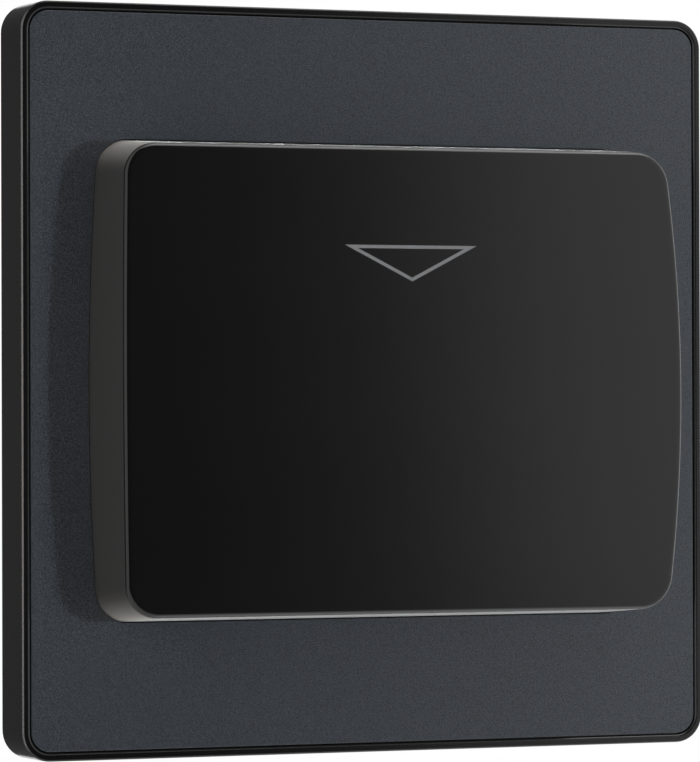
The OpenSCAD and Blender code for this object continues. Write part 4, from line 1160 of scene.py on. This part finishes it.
def make_floor():
    bm = bmesh.new()
    bmesh.ops.create_grid(bm, x_segments=1, y_segments=1, size=FLOOR_HALF)
    bmesh.ops.translate(bm, vec=(0, 0, FLOOR_Z), verts=bm.verts)
    mesh = bpy.data.meshes.new("floor")
    bm.to_mesh(mesh)
    bm.free()
    material = bpy.data.materials.new("pale_floor")
    material.use_nodes = True
    tree = material.node_tree
    shader = tree.nodes["Principled BSDF"]
    shader.inputs["Base Color"].default_value = FLOOR_TONE
    shader.inputs["Roughness"].default_value = 0.9
    glow = add_node(tree, "Emission")
    blend = add_node(tree, "MixShader")
    share = math_node(tree, "MULTIPLY", background_mix(tree), FLOOR_GLOW)
    tree.links.new(share, blend.inputs[0])
    tree.links.new(shader.outputs[0], blend.inputs[1])
    tree.links.new(glow.outputs[0], blend.inputs[2])
    tree.links.new(blend.outputs[0], tree.nodes["Material Output"].inputs["Surface"])
    mesh.materials.append(material)
    link(bpy.data.objects.new("floor", mesh))


def card_mesh(name, y, left_x, edge_x):
    """An upright card between a left edge and a right edge, whose X is given for a height."""
    bm = bmesh.new()
    steps = 24
    rows = []
    for i in range(steps + 1):
        z = CARD_REACH * (2 * i / steps - 1)
        rows.append((bm.verts.new((left_x, y, z)), bm.verts.new((edge_x(z), y, z))))
    for low, high in zip(rows, rows[1:]):
        bm.faces.new((low[0], low[1], high[1], high[0]))
    mesh = bpy.data.meshes.new(name)
    bm.to_mesh(mesh)
    bm.free()
    return mesh


def make_cards():
    """Cards before and behind the object that only mirror-like surfaces see: they shade the black gloss."""
    edge = math.tan(math.radians(FRONT_CARD_EDGE))
    front = card_mesh("front_card", FRONT_CARD_Y, FRONT_CARD_LEFT,
                      lambda z: edge * math.hypot(FRONT_CARD_Y, z) - FRONT_CARD_LEAN * z)
    side = card_mesh("side_card", BACK_CARD_Y, -CARD_REACH, lambda z: BACK_CARD_LEFT)
    back = card_mesh("back_card", BACK_CARD_Y, BACK_CARD_LEFT, lambda z: BACK_CARD_RIGHT)
    for mesh, level in ((front, FRONT_CARD_LEVEL), (side, FRONT_CARD_LEVEL), (back, BACK_CARD_LEVEL)):
        material = bpy.data.materials.new(mesh.name + "_paper")
        material.use_nodes = True
        tree = material.node_tree
        glow = add_node(tree, "Emission", Color=(level, level, level, 1))
        tree.links.new(glow.outputs[0], tree.nodes["Material Output"].inputs["Surface"])
        mesh.materials.append(material)
        card = link(bpy.data.objects.new(mesh.name, mesh))
        card.visible_camera = False
        card.visible_diffuse = False
        card.visible_shadow = False


def area_light(name, at, size, power, mirrored, tint=(1.0, 1.0, 1.0)):
    """A rectangular lamp that faces the object. Mirror-like surfaces show it only where it is mirrored."""
    data = bpy.data.lights.new(name, "AREA")
    data.shape = "RECTANGLE"
    data.size = size[0]
    data.size_y = size[1]
    data.energy = power
    data.color = tint
    lamp = link(bpy.data.objects.new(name, data))
    lamp.location = at
    lamp.rotation_euler = (-Vector(at)).to_track_quat("-Z", "Y").to_euler()
    lamp.visible_camera = False
    lamp.visible_glossy = mirrored


def make_lights():
    area_light("key", at=(0.167, -0.46, 0), size=(0.018, 0.018), power=1.26, mirrored=False, tint=KEY_TINT)
    area_light("left_rim", at=(-0.8, 0.0, 0), size=(0.4, 0.5), power=2.2, mirrored=False)
    area_light("left_bounce", at=(-0.085, -0.045, 0), size=(0.02, 0.06), power=0.028, mirrored=False,
               tint=BOUNCE_TINT)
    area_light("top_box", at=(0.25, -0.17, 0.6), size=(0.6, 0.35), power=1.9, mirrored=True)
    area_light("bottom_box", at=(0.25, -0.1, -0.55), size=(0.6, 0.35), power=0.6, mirrored=True)


add_camera()
zinc = zinc_plate()
make_wall_frame(frame_plastic())
make_front_plate(plate_slate())
make_card_housing(housing_gloss())
make_arrow(arrow_ink())
make_softened("card_guide", guide_plastic(), 0.15 * MM)
make_guide_screws(zinc)
make_softened("card_lever", lever_acetal(), 0.2 * MM, 3)
make_softened("lever_pin", zinc, 0.2 * MM, 3)
make_return_spring(spring_steel())
make_softened("switch_case", switch_phenolic(), 0.2 * MM, 3)
make_softened("switch_button", button_plastic(), 0.4 * MM, 4)
tin = tinned_wire()
make_switch_leads(tin)
make_circuit_board(board_mask())
make_board_solder(tin)
make_softened("relay", relay_case(), 0.25 * MM, 3)
make_softened("film_capacitor", film_epoxy(), 0.4 * MM, 3)
make_smoothing_capacitor(sleeve_film())
make_softened("varistor", varistor_resin(), 0.1 * MM)
make_softened("timer_chip", chip_resin(), 0.08 * MM)
make_softened("power_resistor", resistor_lacquer(), 0.25 * MM, 3)
make_board_screws(zinc)
make_rear_case(case_plastic())
make_case_screws(zinc)
make_softened("terminal_cages", terminal_brass(), 0.2 * MM, 3)
make_terminal_screws(zinc)
make_world()
make_floor()
make_cards()
make_lights()
